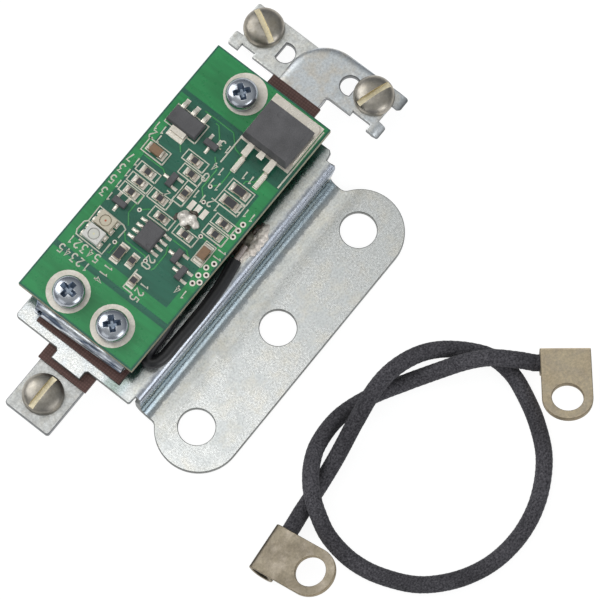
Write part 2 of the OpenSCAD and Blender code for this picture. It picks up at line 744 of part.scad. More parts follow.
// Lead that is wide beside the body, then narrow down to the board; the middle one is cut short
module power_lead(is_stub) {
    wide_l = is_stub ? power_stub_l : power_lead_l;
    translate([0, -power_lead_w / 2, power_lead_rise]) cube([wide_l, power_lead_w, power_lead_t]);
    if (!is_stub) {
        translate([wide_l - power_lead_t, -power_foot_w / 2, 0])
            cube([power_lead_t, power_foot_w, power_lead_rise]);
        translate([wide_l, -power_foot_w / 2, 0]) cube([power_foot_l, power_foot_w, power_lead_t]);
    }
}

// Driver transistor: body, broad tab on one side and three leads on the other
module driver_transistor_body() color("dimgray") on_board(driver_place)
    moulded([driver_w, driver_l, driver_h], mould_draft);

module driver_transistor_leads() color("whitesmoke") on_board(driver_place) {
    rise = driver_h * parting_share;
    for (k = [-1, 0, 1]) translate([driver_w / 2, k * driver_lead_pitch, 0])
        bent_lead(driver_lead_out, rise, driver_lead_w, lead_t);
    translate([-driver_w / 2, 0, 0]) mirror([1, 0, 0]) bent_lead(driver_lead_out, rise, driver_tab_w, lead_t);
}

// Control chip with four leads on each long side
module control_chip_body() color("dimgray") on_board(chip_place) difference() {
    moulded([chip_l, chip_w, chip_h], mould_draft);
    translate([-chip_l * 0.35, -chip_w * 0.28, chip_h - mark_depth]) cylinder(d = first_lead_mark_d, h = cut);
}

module control_chip_leads() color("whitesmoke") on_board(chip_place)
    for (s = [-1, 1], k = [-1.5 : 1.5]) translate([k * chip_pitch, s * chip_w / 2, 0]) rotate(s * 90)
        bent_lead(chip_lead_out, chip_h * parting_share, fine_lead_w, lead_t);

// Small three-legged transistors
module small_transistor_bodies() color("dimgray")
    for (p = small_places) on_board(p) moulded([small_l, small_w, small_h], mould_draft / 2);

module small_transistor_leads() color("whitesmoke")
    for (p = small_places) on_board(p) {
        rise = small_h * parting_share;
        for (k = [-0.5, 0.5]) translate([k * small_lead_pitch, -small_w / 2, 0]) rotate(-90)
            bent_lead(small_lead_out, rise, fine_lead_w, lead_t);
        translate([0, small_w / 2, 0]) rotate(90) bent_lead(small_lead_out, rise, fine_lead_w, lead_t);
    }

// A chip part is a ceramic block between two plated ends
module chip_block(l, w, h) {
    translate([0, 0, h / 2]) cube([l - 2 * end_cap_l, w, h], center = true);
}

module chip_ends(l, w, h) {
    for (s = [-1, 1]) translate([s * (l - end_cap_l) / 2, 0, h / 2]) cube([end_cap_l, w, h], center = true);
}

module resistor_bodies() color("darkslategray") {
    for (p = resistor_places) on_board(p) chip_block(resistor_l, resistor_w, resistor_h);
    for (p = wide_resistor_places) on_board(p) chip_block(wide_resistor_l, wide_resistor_w, resistor_h);
}

module resistor_ends() color("gainsboro") {
    for (p = resistor_places) on_board(p) chip_ends(resistor_l, resistor_w, resistor_h);
    for (p = wide_resistor_places) on_board(p) chip_ends(wide_resistor_l, wide_resistor_w, resistor_h);
}

module capacitor_bodies() color("tan")
    for (p = capacitor_places) on_board(p) chip_block(capacitor_l, capacitor_w, capacitor_h);

module capacitor_ends() color("gainsboro")
    for (p = capacitor_places) on_board(p) chip_ends(capacitor_l, capacitor_w, capacitor_h);

// Indicator lamps: white housings with a round well, each holding its lens
module lamp_housings() color("ivory")
    for (p = lamp_places) on_board(p) difference() {
        translate([-lamp_w / 2, -lamp_l / 2, 0]) cube([lamp_w, lamp_l, lamp_h]);
        translate([0, 0, lamp_h - lens_depth]) cylinder(d = lens_d, h = lamp_h);
    }

module lamp_lens(place) {
    on_board(place) translate([0, 0, lamp_h - lens_depth])
        cylinder(d = lens_d - 2 * fit_clearance, h = lens_depth - lens_recess);
}

module green_lamp_lens() color("honeydew") lamp_lens(green_lamp_place);

module red_lamp_lens() color("lightcoral") lamp_lens(red_lamp_place);

module lamp_leads() color("gainsboro")
    for (p = lamp_places, x = [-lamp_lead_gap / 2 - lamp_lead_w, lamp_lead_gap / 2], s = [-1, 1]) on_board(p)
        translate([x, s > 0 ? lamp_l / 2 : -lamp_l / 2 - lamp_lead_l, 0])
            cube([lamp_lead_w, lamp_lead_l, lamp_h / 2]);

// Blob of solder that bridges the setting pads
module solder_bridge() color("silver") on_board(bridge_place) {
    for (y = [-bridge_dome_side, bridge_dome_side]) dome([0, y, 0], bridge_dome_r, bridge_dome_h);
}

// Cap of a sphere that stands on a flat face, by its foot radius and height
module dome(place, foot_r, h) {
    sphere_r = (foot_r * foot_r + h * h) / (2 * h);
    translate(place) intersection() {
        translate([0, 0, h - sphere_r]) sphere(sphere_r);
        translate([-foot_r, -foot_r, 0]) cube([2 * foot_r, 2 * foot_r, h]);
    }
}

// Ground wire from the bracket to the board, its bare ends and the solder that holds them
module ground_wire() color("black") tube(ground_route, ground_wire_d);

module ground_wire_ends() color("chocolate") {
    last = len(ground_route) - 1;
    tube([ground_route[0], [bracket_joint.x, bracket_joint.y, base_top + ground_core_d]], ground_core_d);
    tube([ground_route[last], [board_joint.x, board_joint.y, board_z - ground_core_d]], ground_core_d);
}

module ground_solder() color("silver") {
    translate([bracket_joint.x, bracket_joint.y, base_top]) {
        dome([0, 0, 0], bracket_dome_r, bracket_dome_h);
        dome([bracket_tail_x, 0, 0], bracket_tail_r, bracket_tail_h);
    }
    translate([board_joint.x, board_joint.y, board_z]) mirror([0, 0, 1])
        dome([0, 0, 0], board_dome_r, board_dome_h);
}

// Loose jumper cable with a flag lug on each end
module jumper_cable() color("darkslategray") tube(jumper_route, jumper_d);

// Flag lug: a barrel round the cable's end and a tongue with a hole, at right angles to the cable
module flag_lug(mouth, inner, side) color("tan") {
    along = unit(inner - mouth);
    centre = mouth + along * lug_w / 2;
    translate(centre) rotate(atan2(along.y, along.x)) difference() {
        rotate([side * lug_raise, 0, 0]) {
            translate([0, 0, barrel_d / 2 - lug_t]) linear_extrude(lug_t) difference() {
                union() {
                    translate([-lug_w / 2, side > 0 ? 0 : -lug_reach]) square([lug_w, lug_reach]);
                    translate([0, side * lug_reach]) circle(d = lug_w);
                }
                translate([0, side * lug_reach]) circle(d = lug_hole_d);
            }
            translate([-lug_w / 2, 0, 0]) rotate([0, 90, 0]) cylinder(d = barrel_d, h = lug_w);
        }
        translate([-lug_w, 0, 0]) rotate([0, 90, 0])
            cylinder(d = jumper_d + 2 * barrel_clearance, h = lug_w + norm(inner - mouth) - lug_past_cable);
    }
}

module jumper_lug_a() flag_lug(jumper_route[1], jumper_route[0], -1);

module jumper_lug_b() {
    last = len(jumper_route) - 1;
    flag_lug(jumper_route[last - 1], jumper_route[last], 1);
}

mounting_bracket();
lower_insulator();
near_terminal();
rear_right_terminal();
rear_left_terminal();
upper_insulator();
shunt_strip();
front_stand();
rear_stand();
stack_rivets();
rivet_bushings();
circuit_board();
board_washers();
board_screws();
near_terminal_screw();
rear_right_terminal_screw();
rear_left_terminal_screw();
power_transistor_body();
power_transistor_frame();
driver_transistor_body();
driver_transistor_leads();
control_chip_body();
control_chip_leads();
small_transistor_bodies();
small_transistor_leads();
resistor_bodies();
resistor_ends();
capacitor_bodies();
capacitor_ends();
lamp_housings();
green_lamp_lens();
red_lamp_lens();
lamp_leads();
solder_bridge();
ground_wire();
ground_wire_ends();
ground_solder();
jumper_cable();
jumper_lug_a();
jumper_lug_b();
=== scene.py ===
# A battery monitor shunt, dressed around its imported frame: a board on a riveted terminal stack, carried
# by a bent zinc bracket, with a loose jumper lead. Lengths are millimetres until a piece is finished.
import math

import bmesh
import bpy
from mathutils import Matrix, Vector, geometry, noise


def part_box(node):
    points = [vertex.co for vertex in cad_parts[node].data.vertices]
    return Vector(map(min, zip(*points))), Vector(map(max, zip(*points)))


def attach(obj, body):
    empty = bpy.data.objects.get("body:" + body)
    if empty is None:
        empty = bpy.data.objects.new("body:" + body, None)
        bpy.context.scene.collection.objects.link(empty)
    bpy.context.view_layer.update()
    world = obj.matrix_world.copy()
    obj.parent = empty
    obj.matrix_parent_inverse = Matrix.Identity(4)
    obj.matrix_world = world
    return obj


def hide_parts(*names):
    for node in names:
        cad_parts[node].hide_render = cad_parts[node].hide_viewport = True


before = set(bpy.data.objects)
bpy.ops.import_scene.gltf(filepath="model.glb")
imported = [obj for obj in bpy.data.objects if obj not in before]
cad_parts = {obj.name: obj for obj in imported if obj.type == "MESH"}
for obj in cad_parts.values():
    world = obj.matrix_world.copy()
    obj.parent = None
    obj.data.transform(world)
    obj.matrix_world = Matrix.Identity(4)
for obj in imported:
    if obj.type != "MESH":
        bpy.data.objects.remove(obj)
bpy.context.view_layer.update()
MM = 0.001


# Viewpoint: a long lens high over the single terminal, looking down along the board, as a parts
# catalogue is photographed. The board's far end points to the upper right.
CAMERA_PLACE = Vector((-140.63, -116.92, 725.82)) * MM
CAMERA_AIM = Vector((6.78, 0.31, 0)) * MM
LENS = 247.44
SENSOR = 36

lens = bpy.data.cameras.new("viewpoint")
lens.lens = LENS
lens.sensor_width = SENSOR
viewpoint = bpy.data.objects.new("viewpoint", lens)
viewpoint.location = CAMERA_PLACE
viewpoint.rotation_euler = (CAMERA_PLACE - CAMERA_AIM).to_track_quat("Z", "Y").to_euler()
bpy.context.scene.collection.objects.link(viewpoint)
bpy.context.scene.camera = viewpoint
bpy.context.scene.view_settings.view_transform = "Standard"


# Studio: a white sweep under the part, a pale tent overhead that darkens towards the horizon, and
# four soft boxes. The tent and the small box overhead are what the plated sheet mirrors.
FLOOR_HALF = 3000
FLOOR_DROP = 0.02
FLOOR_GLOW = 0.9
FLOOR_SHADE = 0.2
FLOOR_BOUNCE = 0.75
TENT = [(0, (0.27, 0.28, 0.3)), (0.3, (0.16, 0.175, 0.2)), (0.62, (0.34, 0.355, 0.37)),
        (0.9, (0.5, 0.51, 0.51)), (1, (0.53, 0.53, 0.52))]
SOFT_BOXES = {  # place, width and depth, and power of each
    "key_box": ((-60, 640, 560), (600, 600), 3.2),
    "left_box": ((-620, 60, 330), (420, 420), 0.4),
    "right_box": ((-60, -620, 330), (420, 420), 1.4),
    "top_box": ((0, 110, 700), (200, 260), 0.2),
}


def add_node(tree, kind, inputs=(), **settings):
    """One node with its settings; an input is a value, or the socket that feeds it."""
    made = tree.nodes.new(kind)
    for name, value in settings.items():
        setattr(made, name, value)
    for key, value in dict(inputs).items():
        if isinstance(value, bpy.types.NodeSocket):
            tree.links.new(value, made.inputs[key])
        else:
            made.inputs[key].default_value = value
    return made


def add_object(name, data):
    """An object at the origin, in the scene."""
    made = bpy.data.objects.new(name, data)
    bpy.context.scene.collection.objects.link(made)
    return made


def computed(tree, operation, *values, **settings):
    """What a math node makes of values or sockets."""
    return add_node(tree, "ShaderNodeMath", enumerate(values), operation=operation, **settings).outputs[0]


def add_ramp(tree, value, stops):
    """A colour ramp through stops of (place, colour)."""
    ramp = add_node(tree, "ShaderNodeValToRGB", {"Fac": value})
    for step, (place, colour) in enumerate(stops):
        made = ramp.color_ramp.elements
        stop = made[step] if step < 2 else made.new(place)
        stop.position = place
        stop.color = (*colour, 1)
    return ramp.outputs["Color"]


world = bpy.data.worlds.new("tent")
bpy.context.scene.world = world
world.use_nodes = True
tent = world.node_tree
towards = add_node(tent, "ShaderNodeTexCoord").outputs["Generated"]
rise = add_node(tent, "ShaderNodeSeparateXYZ", {"Vector": towards}).outputs["Z"]
tent.links.new(add_ramp(tent, rise, TENT), tent.nodes["Background"].inputs["Color"])

for name, (place, size, watts) in SOFT_BOXES.items():
    lamp = bpy.data.lights.new(name, "AREA")
    lamp.shape = "RECTANGLE"
    lamp.size = size[0] * MM
    lamp.size_y = size[1] * MM
    lamp.energy = watts
    box = add_object(name, lamp)
    box.location = Vector(place) * MM
    box.rotation_euler = box.location.to_track_quat("Z", "Y").to_euler()

floor_material = bpy.data.materials.new("white_sweep")
floor_material.use_nodes = True
tree = floor_material.node_tree
tree.nodes.remove(tree.nodes["Principled BSDF"])
ray = add_node(tree, "ShaderNodeLightPath").outputs
seen = computed(tree, "ADD", ray["Is Camera Ray"], ray["Is Glossy Ray"])
seen = computed(tree, "ADD", seen, ray["Is Transmission Ray"], use_clamp=True)
bounce = add_node(tree, "ShaderNodeBsdfDiffuse", {"Color": (FLOOR_BOUNCE, FLOOR_BOUNCE, FLOOR_BOUNCE, 1)})
shade = add_node(tree, "ShaderNodeBsdfDiffuse", {"Color": (FLOOR_SHADE, FLOOR_SHADE, FLOOR_SHADE, 1)})
glow = add_node(tree, "ShaderNodeEmission", {"Strength": FLOOR_GLOW})
white = add_node(tree, "ShaderNodeAddShader", {0: glow.outputs[0], 1: shade.outputs[0]})
sweep = add_node(tree, "ShaderNodeMixShader", {0: seen, 1: bounce.outputs[0], 2: white.outputs[0]})
tree.links.new(sweep.outputs[0], tree.nodes["Material Output"].inputs["Surface"])

floor_mesh = bpy.data.meshes.new("floor")
floor_corners = [(x * FLOOR_HALF * MM, y * FLOOR_HALF * MM, -FLOOR_DROP * MM)
                 for x, y in ((-1, -1), (1, -1), (1, 1), (-1, 1))]
floor_mesh.from_pydata(floor_corners, [], [(0, 1, 2, 3)])
floor_mesh.materials.append(floor_material)
add_object("floor", floor_mesh)


# Jumper cable: a limp stranded lead in a dark cotton braid, lying in one loop on the surface. It
# passes over itself in low humps and ends inside a flag lug at each end.
JUMPER_ROUTE = [
    (29.1, -47.75, 3), (23.9, -41.3, 3), (23.1, -40.2, 3.2), (21.5, -38, 4.6), (18.8, -34.2, 5.2),
    (15.5, -31, 4.7), (11, -27.6, 2.8), (5.5, -24, 1.6), (0, -21, 1.6), (-6.3, -19, 1.7), (-12.5, -19.3, 2.8),
    (-17, -21.2, 4.5), (-20.5, -24, 5.2), (-23, -27.4, 4.7), (-24.8, -31.5, 2.8), (-25.4, -37, 1.6),
    (-24.5, -42.5, 1.6), (-21.5, -49, 1.6), (-16.3, -54, 1.6), (-10, -57, 1.6), (-3, -57.8, 1.6),
    (4, -56.4, 1.6), (10.6, -52.7, 1.6), (15, -47.7, 1.6), (18, -42.4, 1.6), (19.6, -37.9, 1.6),
    (19.5, -33, 1.6), (16.5, -27.6, 2.2), (12.3, -23.9, 3.8), (7, -21.8, 4.9), (1.5, -21.3, 5.1),
    (-5.8, -22.3, 4.6), (-12.5, -23.4, 2.8), (-18.5, -24.1, 1.6), (-24, -24.6, 1.7),
    (-28.5, -25.25, 2.33), (-36.4, -26, 2.33),
]
CABLE_D = 3.2
BRAID_SIDES = 60
BRAID_STEP = 0.19
BRAID_STRANDS = 12
BRAID_PITCH = 7.5
BRAID_DEPTH = 0.12
BRAID_CLEARANCE = 0.02
BRAID_SLACK = 0.03
SLACK_PER_MM = 0.35
STRAND_RISE = 0.7
CROSSING_RISE = 0.3
BRAID_DARK = (0.026, 0.025, 0.03, 1)
BRAID_PALE = (0.135, 0.13, 0.143, 1)
YARN_STRETCH = (36, 3.2, 1)
FUZZ_SCALE = 2600
FADE_SCALE = 75
CURVE_STEPS = 24


def smooth_path(points, step):
    """Points an even step apart on a smooth curve through the given ones."""
    spots = [Vector(p) for p in points]
    held = [2 * spots[0] - spots[1], *spots, 2 * spots[-1] - spots[-2]]
    fine = [spots[0]]
    for a, b, c, d in zip(held, held[1:], held[2:], held[3:]):
        for k in range(1, CURVE_STEPS + 1):
            t = k / CURVE_STEPS
            bend = (2 * a - 5 * b + 4 * c - d) * t ** 2 + (3 * b - a - 3 * c + d) * t ** 3
            fine.append((2 * b + (c - a) * t + bend) / 2)
    lengths = [0]
    for a, b in zip(fine, fine[1:]):
        lengths.append(lengths[-1] + (b - a).length)
    count = max(2, round(lengths[-1] / step))
    path, leg = [], 0
    for k in range(count + 1):
        reach = lengths[-1] * k / count
        while leg < len(fine) - 2 and lengths[leg + 1] < reach:
            leg += 1
        share = (reach - lengths[leg]) / max(lengths[leg + 1] - lengths[leg], 1e-9)
        path.append(fine[leg].lerp(fine[leg + 1], min(share, 1)))
    return path


def tube_mesh(path, sides, radius_at):
    """A closed tube along a path, with a UV map of share round it and millimetres along it."""
    shape = bmesh.new()
    uv = shape.loops.layers.uv.new("lay")
    side = Vector((0, 0, 1))
    rings, reaches = [], [0]
    for k, spot in enumerate(path):
        ahead = (path[min(k + 1, len(path) - 1)] - path[max(k - 1, 0)]).normalized()
        side = (side - ahead * side.dot(ahead)).normalized()
        over = ahead.cross(side)
        if k:
            reaches.append(reaches[-1] + (spot - path[k - 1]).length)
        turns = [math.tau * n / sides for n in range(sides)]
        outward = [math.cos(a) * side + math.sin(a) * over for a in turns]
        rings.append([shape.verts.new(spot + radius_at(a, reaches[k]) * way)
                      for a, way in zip(turns, outward)])
    for k in range(len(rings) - 1):
        for n in range(sides):
            m = (n + 1) % sides
            face = shape.faces.new((rings[k][n], rings[k][m], rings[k + 1][m], rings[k + 1][n]))
            corners = [(n, k), (n + 1, k), (n + 1, k + 1), (n, k + 1)]
            for loop, (around, along) in zip(face.loops, corners):
                loop[uv].uv = (around / sides, reaches[along])
    shape.faces.new(rings[0][::-1])
    shape.faces.new(rings[-1])
    return shape


def finish_piece(name, shape, *materials, sharp=40):
    """A finished piece: millimetres become metres, edges over the angle stay sharp and flats stay flat."""
    bmesh.ops.recalc_face_normals(shape, faces=shape.faces)
    mesh = bpy.data.meshes.new(name)
    shape.to_mesh(mesh)
    shape.free()
    mesh.transform(Matrix.Scale(MM, 4))
    mesh.shade_smooth()
    mesh.set_sharp_from_angle(angle=math.radians(sharp))
    for material in materials:
        mesh.materials.append(material)
    piece = add_object(name, mesh)
    flats = piece.modifiers.new("flats", "WEIGHTED_NORMAL")
    flats.keep_sharp = True
    return apply_modifiers(piece)


def apply_modifiers(piece):
    """The piece with what its modifiers make of it as its plain mesh."""
    bpy.context.view_layer.update()
    made = bpy.data.meshes.new_from_object(piece.evaluated_get(bpy.context.evaluated_depsgraph_get()))
    piece.modifiers.clear()
    piece.data = made
    return piece


def dress(piece, slot, *nodes, body="base"):
    """The piece rides on a body and stands for CAD nodes; the finish it is given is not used."""
    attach(piece, body)
    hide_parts(*nodes)
    return piece


def new_material(name, **sockets):
    """A material and its tree and shader, with plain values set on the shader's own sockets."""
    material = bpy.data.materials.new(name)
    material.use_nodes = True
    shader = material.node_tree.nodes["Principled BSDF"]
    for key, value in sockets.items():
        shader.inputs[key.replace("_", " ")].default_value = value
    return material, material.node_tree, shader


def new_group(name, inputs, outputs):
    """An empty shader group with named sockets, and its two ends."""
    group = bpy.data.node_groups.new(name, "ShaderNodeTree")
    kinds = {float: "NodeSocketFloat", tuple: "NodeSocketColor", Vector: "NodeSocketVector"}
    for key, value in inputs.items():
        group.interface.new_socket(key, in_out="INPUT", socket_type=kinds[type(value)]).default_value = value
    for key, kind in outputs.items():
        group.interface.new_socket(key, in_out="OUTPUT", socket_type=kind)
    return group, add_node(group, "NodeGroupInput").outputs, add_node(group, "NodeGroupOutput").inputs


def place_group(tree, group, inputs):
    """A shader group placed in a material; gives its outputs."""
    return add_node(tree, "ShaderNodeGroup", inputs, node_tree=group).outputs


def raise_surface(tree, shader, height, strength, depth):
    """Feeds a height from 0 to 1 to the shader as relief of a depth in millimetres."""
    bump = add_node(tree, "ShaderNodeBump", {"Height": height, "Strength": strength, "Distance": depth * MM})
    tree.links.new(bump.outputs["Normal"], shader.inputs["Normal"])


def surface_place(tree):
    """Where a point of the surface lies, in the object's own metres."""
    return add_node(tree, "ShaderNodeTexCoord").outputs["Object"]


def map_place(tree, name):
    """Where a point of the surface lies on a UV map."""
    return add_node(tree, "ShaderNodeUVMap", uv_map=name).outputs["UV"]


def stretched(tree, place, scale):
    """A place with each of its three ways scaled."""
    return add_node(tree, "ShaderNodeMapping", {"Vector": place, "Scale": scale}).outputs["Vector"]


def noise_at(tree, place, scale, detail=2, roughness=0.5):
    """Soft noise from 0 to 1, with so many cells to a unit of the place."""
    inputs = {"Vector": place, "Scale": scale, "Detail": detail, "Roughness": roughness}
    return add_node(tree, "ShaderNodeTexNoise", inputs).outputs["Fac"]


def remap(tree, value, start, end, low=0, high=1):
    """A value taken from one span to another and held inside it."""
    inputs = {"Value": value, "From Min": start, "From Max": end, "To Min": low, "To Max": high}
    return add_node(tree, "ShaderNodeMapRange", inputs).outputs[0]


def scaled(tree, colour, share):
    """A colour made lighter or darker by a share."""
    inputs = {0: colour, "Scale": share}
    return add_node(tree, "ShaderNodeVectorMath", inputs, operation="SCALE").outputs["Vector"]


def blended(tree, share, first, second, **settings):
    """A mix of two colours."""
    inputs = {"Factor": share, 6: first, 7: second}
    return add_node(tree, "ShaderNodeMix", inputs, data_type="RGBA", **settings).outputs[2]


def braid_height(around, along):
    """Height of the braid, from 0 to 1, where two sets of strands pass over and under each other."""
    lay = math.tau * along / BRAID_PITCH
    right = BRAID_STRANDS * around + BRAID_STRANDS * lay / 2
    left = BRAID_STRANDS * around - BRAID_STRANDS * lay / 2
    over = CROSSING_RISE * math.cos(right / 2) * math.cos(left / 2)
    return max(abs(math.cos(right / 2)) * STRAND_RISE + over, abs(math.cos(left / 2)) * STRAND_RISE - over)


def cable_radius(around, along):
    """Outer radius of the braid, a little uneven along the lead."""
    slack = BRAID_SLACK * noise.noise((along * SLACK_PER_MM, math.cos(around), math.sin(around)))
    dip = BRAID_DEPTH * (1 - braid_height(around, along))
    return CABLE_D / 2 - BRAID_CLEARANCE - dip + min(slack, 0)


material, tree, shader = new_material("cotton_braid", Roughness=0.85, Specular_IOR_Level=0.25,
                                      Sheen_Weight=0.06, Sheen_Roughness=0.5)
here = surface_place(tree)
yarn = noise_at(tree, stretched(tree, map_place(tree, "lay"), YARN_STRETCH), 1, 4, 0.65)
fuzz = noise_at(tree, here, FUZZ_SCALE, 3)
tone = remap(tree, computed(tree, "MULTIPLY", yarn, fuzz), 0.15, 0.4)
dyed = blended(tree, tone, BRAID_DARK, BRAID_PALE)
fading = remap(tree, noise_at(tree, here, FADE_SCALE), 0.35, 0.65, 0.7, 1.15)
tree.links.new(scaled(tree, dyed, fading), shader.inputs["Base Color"])
raise_surface(tree, shader, fuzz, 0.5, 0.12)

cable_path = smooth_path(JUMPER_ROUTE, BRAID_STEP)
for spot in cable_path:
    spot.z = max(spot.z, CABLE_D / 2)
jumper = finish_piece("braided_jumper", tube_mesh(cable_path, BRAID_SIDES, cable_radius), material, sharp=80)
dress(jumper, "cable_braid", "jumper_cable", body="jumper")


# Flag lugs of the jumper: nickel-plated strip with a round end and a hole, its other end rolled
# into a flattened barrel round the cable. The cable's twist holds both tongues up.
LUG_W = 9.2
LUG_T = 0.9
LUG_REACH = 8.7
LUG_RAISE = math.radians(19)
LUG_HOLE_D = 5.7
BARREL_D = 4.6
BARREL_WALL = 0.65
BARREL_CORNER = 1.4
BARREL_UNDER_CORNER = 2.2
BARREL_LAP = 1.2
LUG_EDGE = 0.12
NICKEL = (0.7, 0.6, 0.43, 1)
NICKEL_STAIN = (0.54, 0.45, 0.32, 1)
SHADED_NICKEL = (0.35, 0.305, 0.23, 1)
SHADED_NICKEL_STAIN = (0.27, 0.23, 0.17, 1)
NICKEL_FLECK = (0.5, 0.44, 0.37, 1)
NICKEL_CUT = (0.24, 0.2, 0.14, 1)
LUG_ROUGHNESS = 0.58
BARREL_SHADE = 0.36
SHADE_FULL_BEFORE_FLAT = 0.8
SHADE_END_BEFORE_FLAT = 0.4
SHADE_ROUGHENING = 0.2
TONGUE_TAPER = 2
MITRE_LIMIT = 0.35
BEND_STATIONS = 8
ROUND_END_STEPS = 32
SKIN_DEPTH = 0.06


def arc(centre, radius, start, end, steps=10):
    """Points on an arc, with its angles in degrees."""
    turns = [math.radians(start + (end - start) * k / steps) for k in range(steps + 1)]
    return [Vector((centre[0] + radius * math.cos(a), centre[1] + radius * math.sin(a))) for a in turns]


def hole(centre, diameter, steps=48):
    """A round hole, run clockwise so that the sheet lies on its left."""
    return arc(centre, diameter / 2, 360, 360 / steps, steps - 1)


def inset(ring, depths):
    """A closed ring of points moved to its left, each by its own depth, with mitred corners."""
    moved = []
    for before, here, after, depth in zip(ring[-1:] + ring[:-1], ring, ring[1:] + ring[:1], depths):
        arriving = (here - before).normalized()
        leaving = (after - here).normalized()
        square = Vector((-arriving.y, arriving.x))
        left = (square + Vector((-leaving.y, leaving.x))).normalized()
        moved.append(here + left * depth / max(left.dot(square), MITRE_LIMIT))
    return moved


def bend_path(start, heading, moves):
    """Side view of a bent sheet as (length, degrees) moves: where it is and faces at any reach."""
    legs, reach, spot, angle = [], 0, Vector(start), math.radians(heading)
    for length, turn in moves:
        legs.append((reach, length, spot.copy(), angle, math.radians(turn)))
        spot += leg_step(length, length, angle, math.radians(turn))
        reach += length
        angle += math.radians(turn)

    def at(v):
        begin, length, spot, angle, turn = next((leg for leg in reversed(legs) if v >= leg[0]), legs[0])
        angle_here = angle + turn * (v - begin) / length
        place = spot + leg_step(v - begin, length, angle, turn)
        return place, Vector((-math.sin(angle_here), math.cos(angle_here)))

    stations = [leg[0] + leg[1] * k / BEND_STATIONS
                for leg in legs if leg[4] for k in range(BEND_STATIONS + 1)]
    return at, stations, reach


def leg_step(part, length, angle, turn):
    """Where a straight or evenly turning leg has got to after a part of its length."""
    if not turn:
        return part * Vector((math.cos(angle), math.sin(angle)))
    radius = length / turn
    end = angle + turn * part / length
    return radius * Vector((math.sin(end) - math.sin(angle), math.cos(angle) - math.cos(end)))


def pressed(outline, holes, thickness, edge, bend, stations=(), steps=3, rolls=()):
    """Sheet cut to an outline and bent, whose rounded rims stand in the second material.

    Rolls give each point of the outline its own (reach, drop) over the top, in the first material.
    A UV map named blank keeps each point's place on the flat sheet, in millimetres.
    """
    shape = bmesh.new()
    turns = [math.pi / 2 * k / steps for k in range(steps + 1)]
    under, over = [], []
    for ring in [outline, *holes]:
        rolled = bool(rolls) and ring is outline
        spans = rolls if rolled else [(edge, edge)] * len(ring)
        rims = []
        for turn in turns:
            flat = inset(ring, [edge * (1 - math.sin(turn))] * len(ring))
            rims.append([shape.verts.new((p.x, p.y, edge * (1 - math.cos(turn)))) for p in flat])
        for turn in reversed(turns):
            flat = inset(ring, [reach * (1 - math.sin(turn)) for reach, drop in spans])
            heights = [thickness - drop * (1 - math.cos(turn)) for reach, drop in spans]
            rims.append([shape.verts.new((p.x, p.y, height)) for p, height in zip(flat, heights)])
        for k, (low, high) in enumerate(zip(rims, rims[1:])):
            for i in range(len(ring)):
                j = (i + 1) % len(ring)
                face = shape.faces.new((low[i], low[j], high[j], high[i]))
                face.material_index = int(k <= steps or not rolled)
        under.append(rims[0])
        over.append(rims[-1])
    for rims in (under, over):
        corners = [corner for rim in rims for corner in rim]
        for triangle in geometry.tessellate_polygon([[corner.co for corner in rim] for rim in rims]):
            shape.faces.new([corners[i] for i in triangle])
    for station in stations:
        everything = shape.verts[:] + shape.edges[:] + shape.faces[:]
        bmesh.ops.bisect_plane(shape, geom=everything, dist=1e-4, plane_co=(0, station, 0),
                               plane_no=(0, 1, 0))
    blank = shape.loops.layers.uv.new("blank")
    for face in shape.faces:
        for loop in face.loops:
            loop[blank].uv = loop.vert.co.xy
    for corner in shape.verts:
        corner.co = bend(*corner.co)
    return shape


# Plated skin: cloudy tone, warm flecks and fine grain of plated or tinned metal
skin, given, gives = new_group(
    "plated_skin",
    {"Colour": (0.6, 0.6, 0.6, 1), "Stain": (0.4, 0.4, 0.4, 1), "Fleck": (0.5, 0.5, 0.5, 1),
     "Clouds": 120.0, "Cloudiness": 0.5, "Flecks": 0.3, "Grain": 2200.0, "Graininess": 0.15,
     "Roughness": 0.35, "Unevenness": 0.12},
    {"Colour": "NodeSocketColor", "Roughness": "NodeSocketFloat", "Height": "NodeSocketFloat"})
here = surface_place(skin)
aside = add_node(skin, "ShaderNodeMapping", {
    "Vector": here, "Location": (0.3, 0.7, 0.2), "Scale": (1.7, 1.7, 1.7)}).outputs["Vector"]
cloud = remap(skin, noise_at(skin, here, given["Clouds"], 6, 0.6), 0.38, 0.68)
warm = remap(skin, noise_at(skin, aside, given["Clouds"], 6, 0.6), 0.46, 0.66)
grain = noise_at(skin, here, given["Grain"], 3, 0.7)
tinge = computed(skin, "MULTIPLY", cloud, given["Cloudiness"])
tinted = blended(skin, tinge, given["Colour"], given["Stain"])
blush = computed(skin, "MULTIPLY", warm, given["Flecks"])
flecked = blended(skin, blush, tinted, given["Fleck"])
dark = computed(skin, "SUBTRACT", 1.0, given["Graininess"])
light = computed(skin, "ADD", 1.0, given["Graininess"])
speckled = scaled(skin, flecked, remap(skin, grain, 0.3, 0.7, dark, light))
rough = computed(skin, "MULTIPLY_ADD", cloud, given["Unevenness"], given["Roughness"])
skin.links.new(speckled, gives["Colour"])
skin.links.new(rough, gives["Roughness"])
skin.links.new(grain, gives["Height"])


def along_blank(tree):
    """How far along its flat blank a point of a sheet lies, in millimetres."""
    return add_node(tree, "ShaderNodeSeparateXYZ", {"Vector": map_place(tree, "blank")}).outputs["Y"]


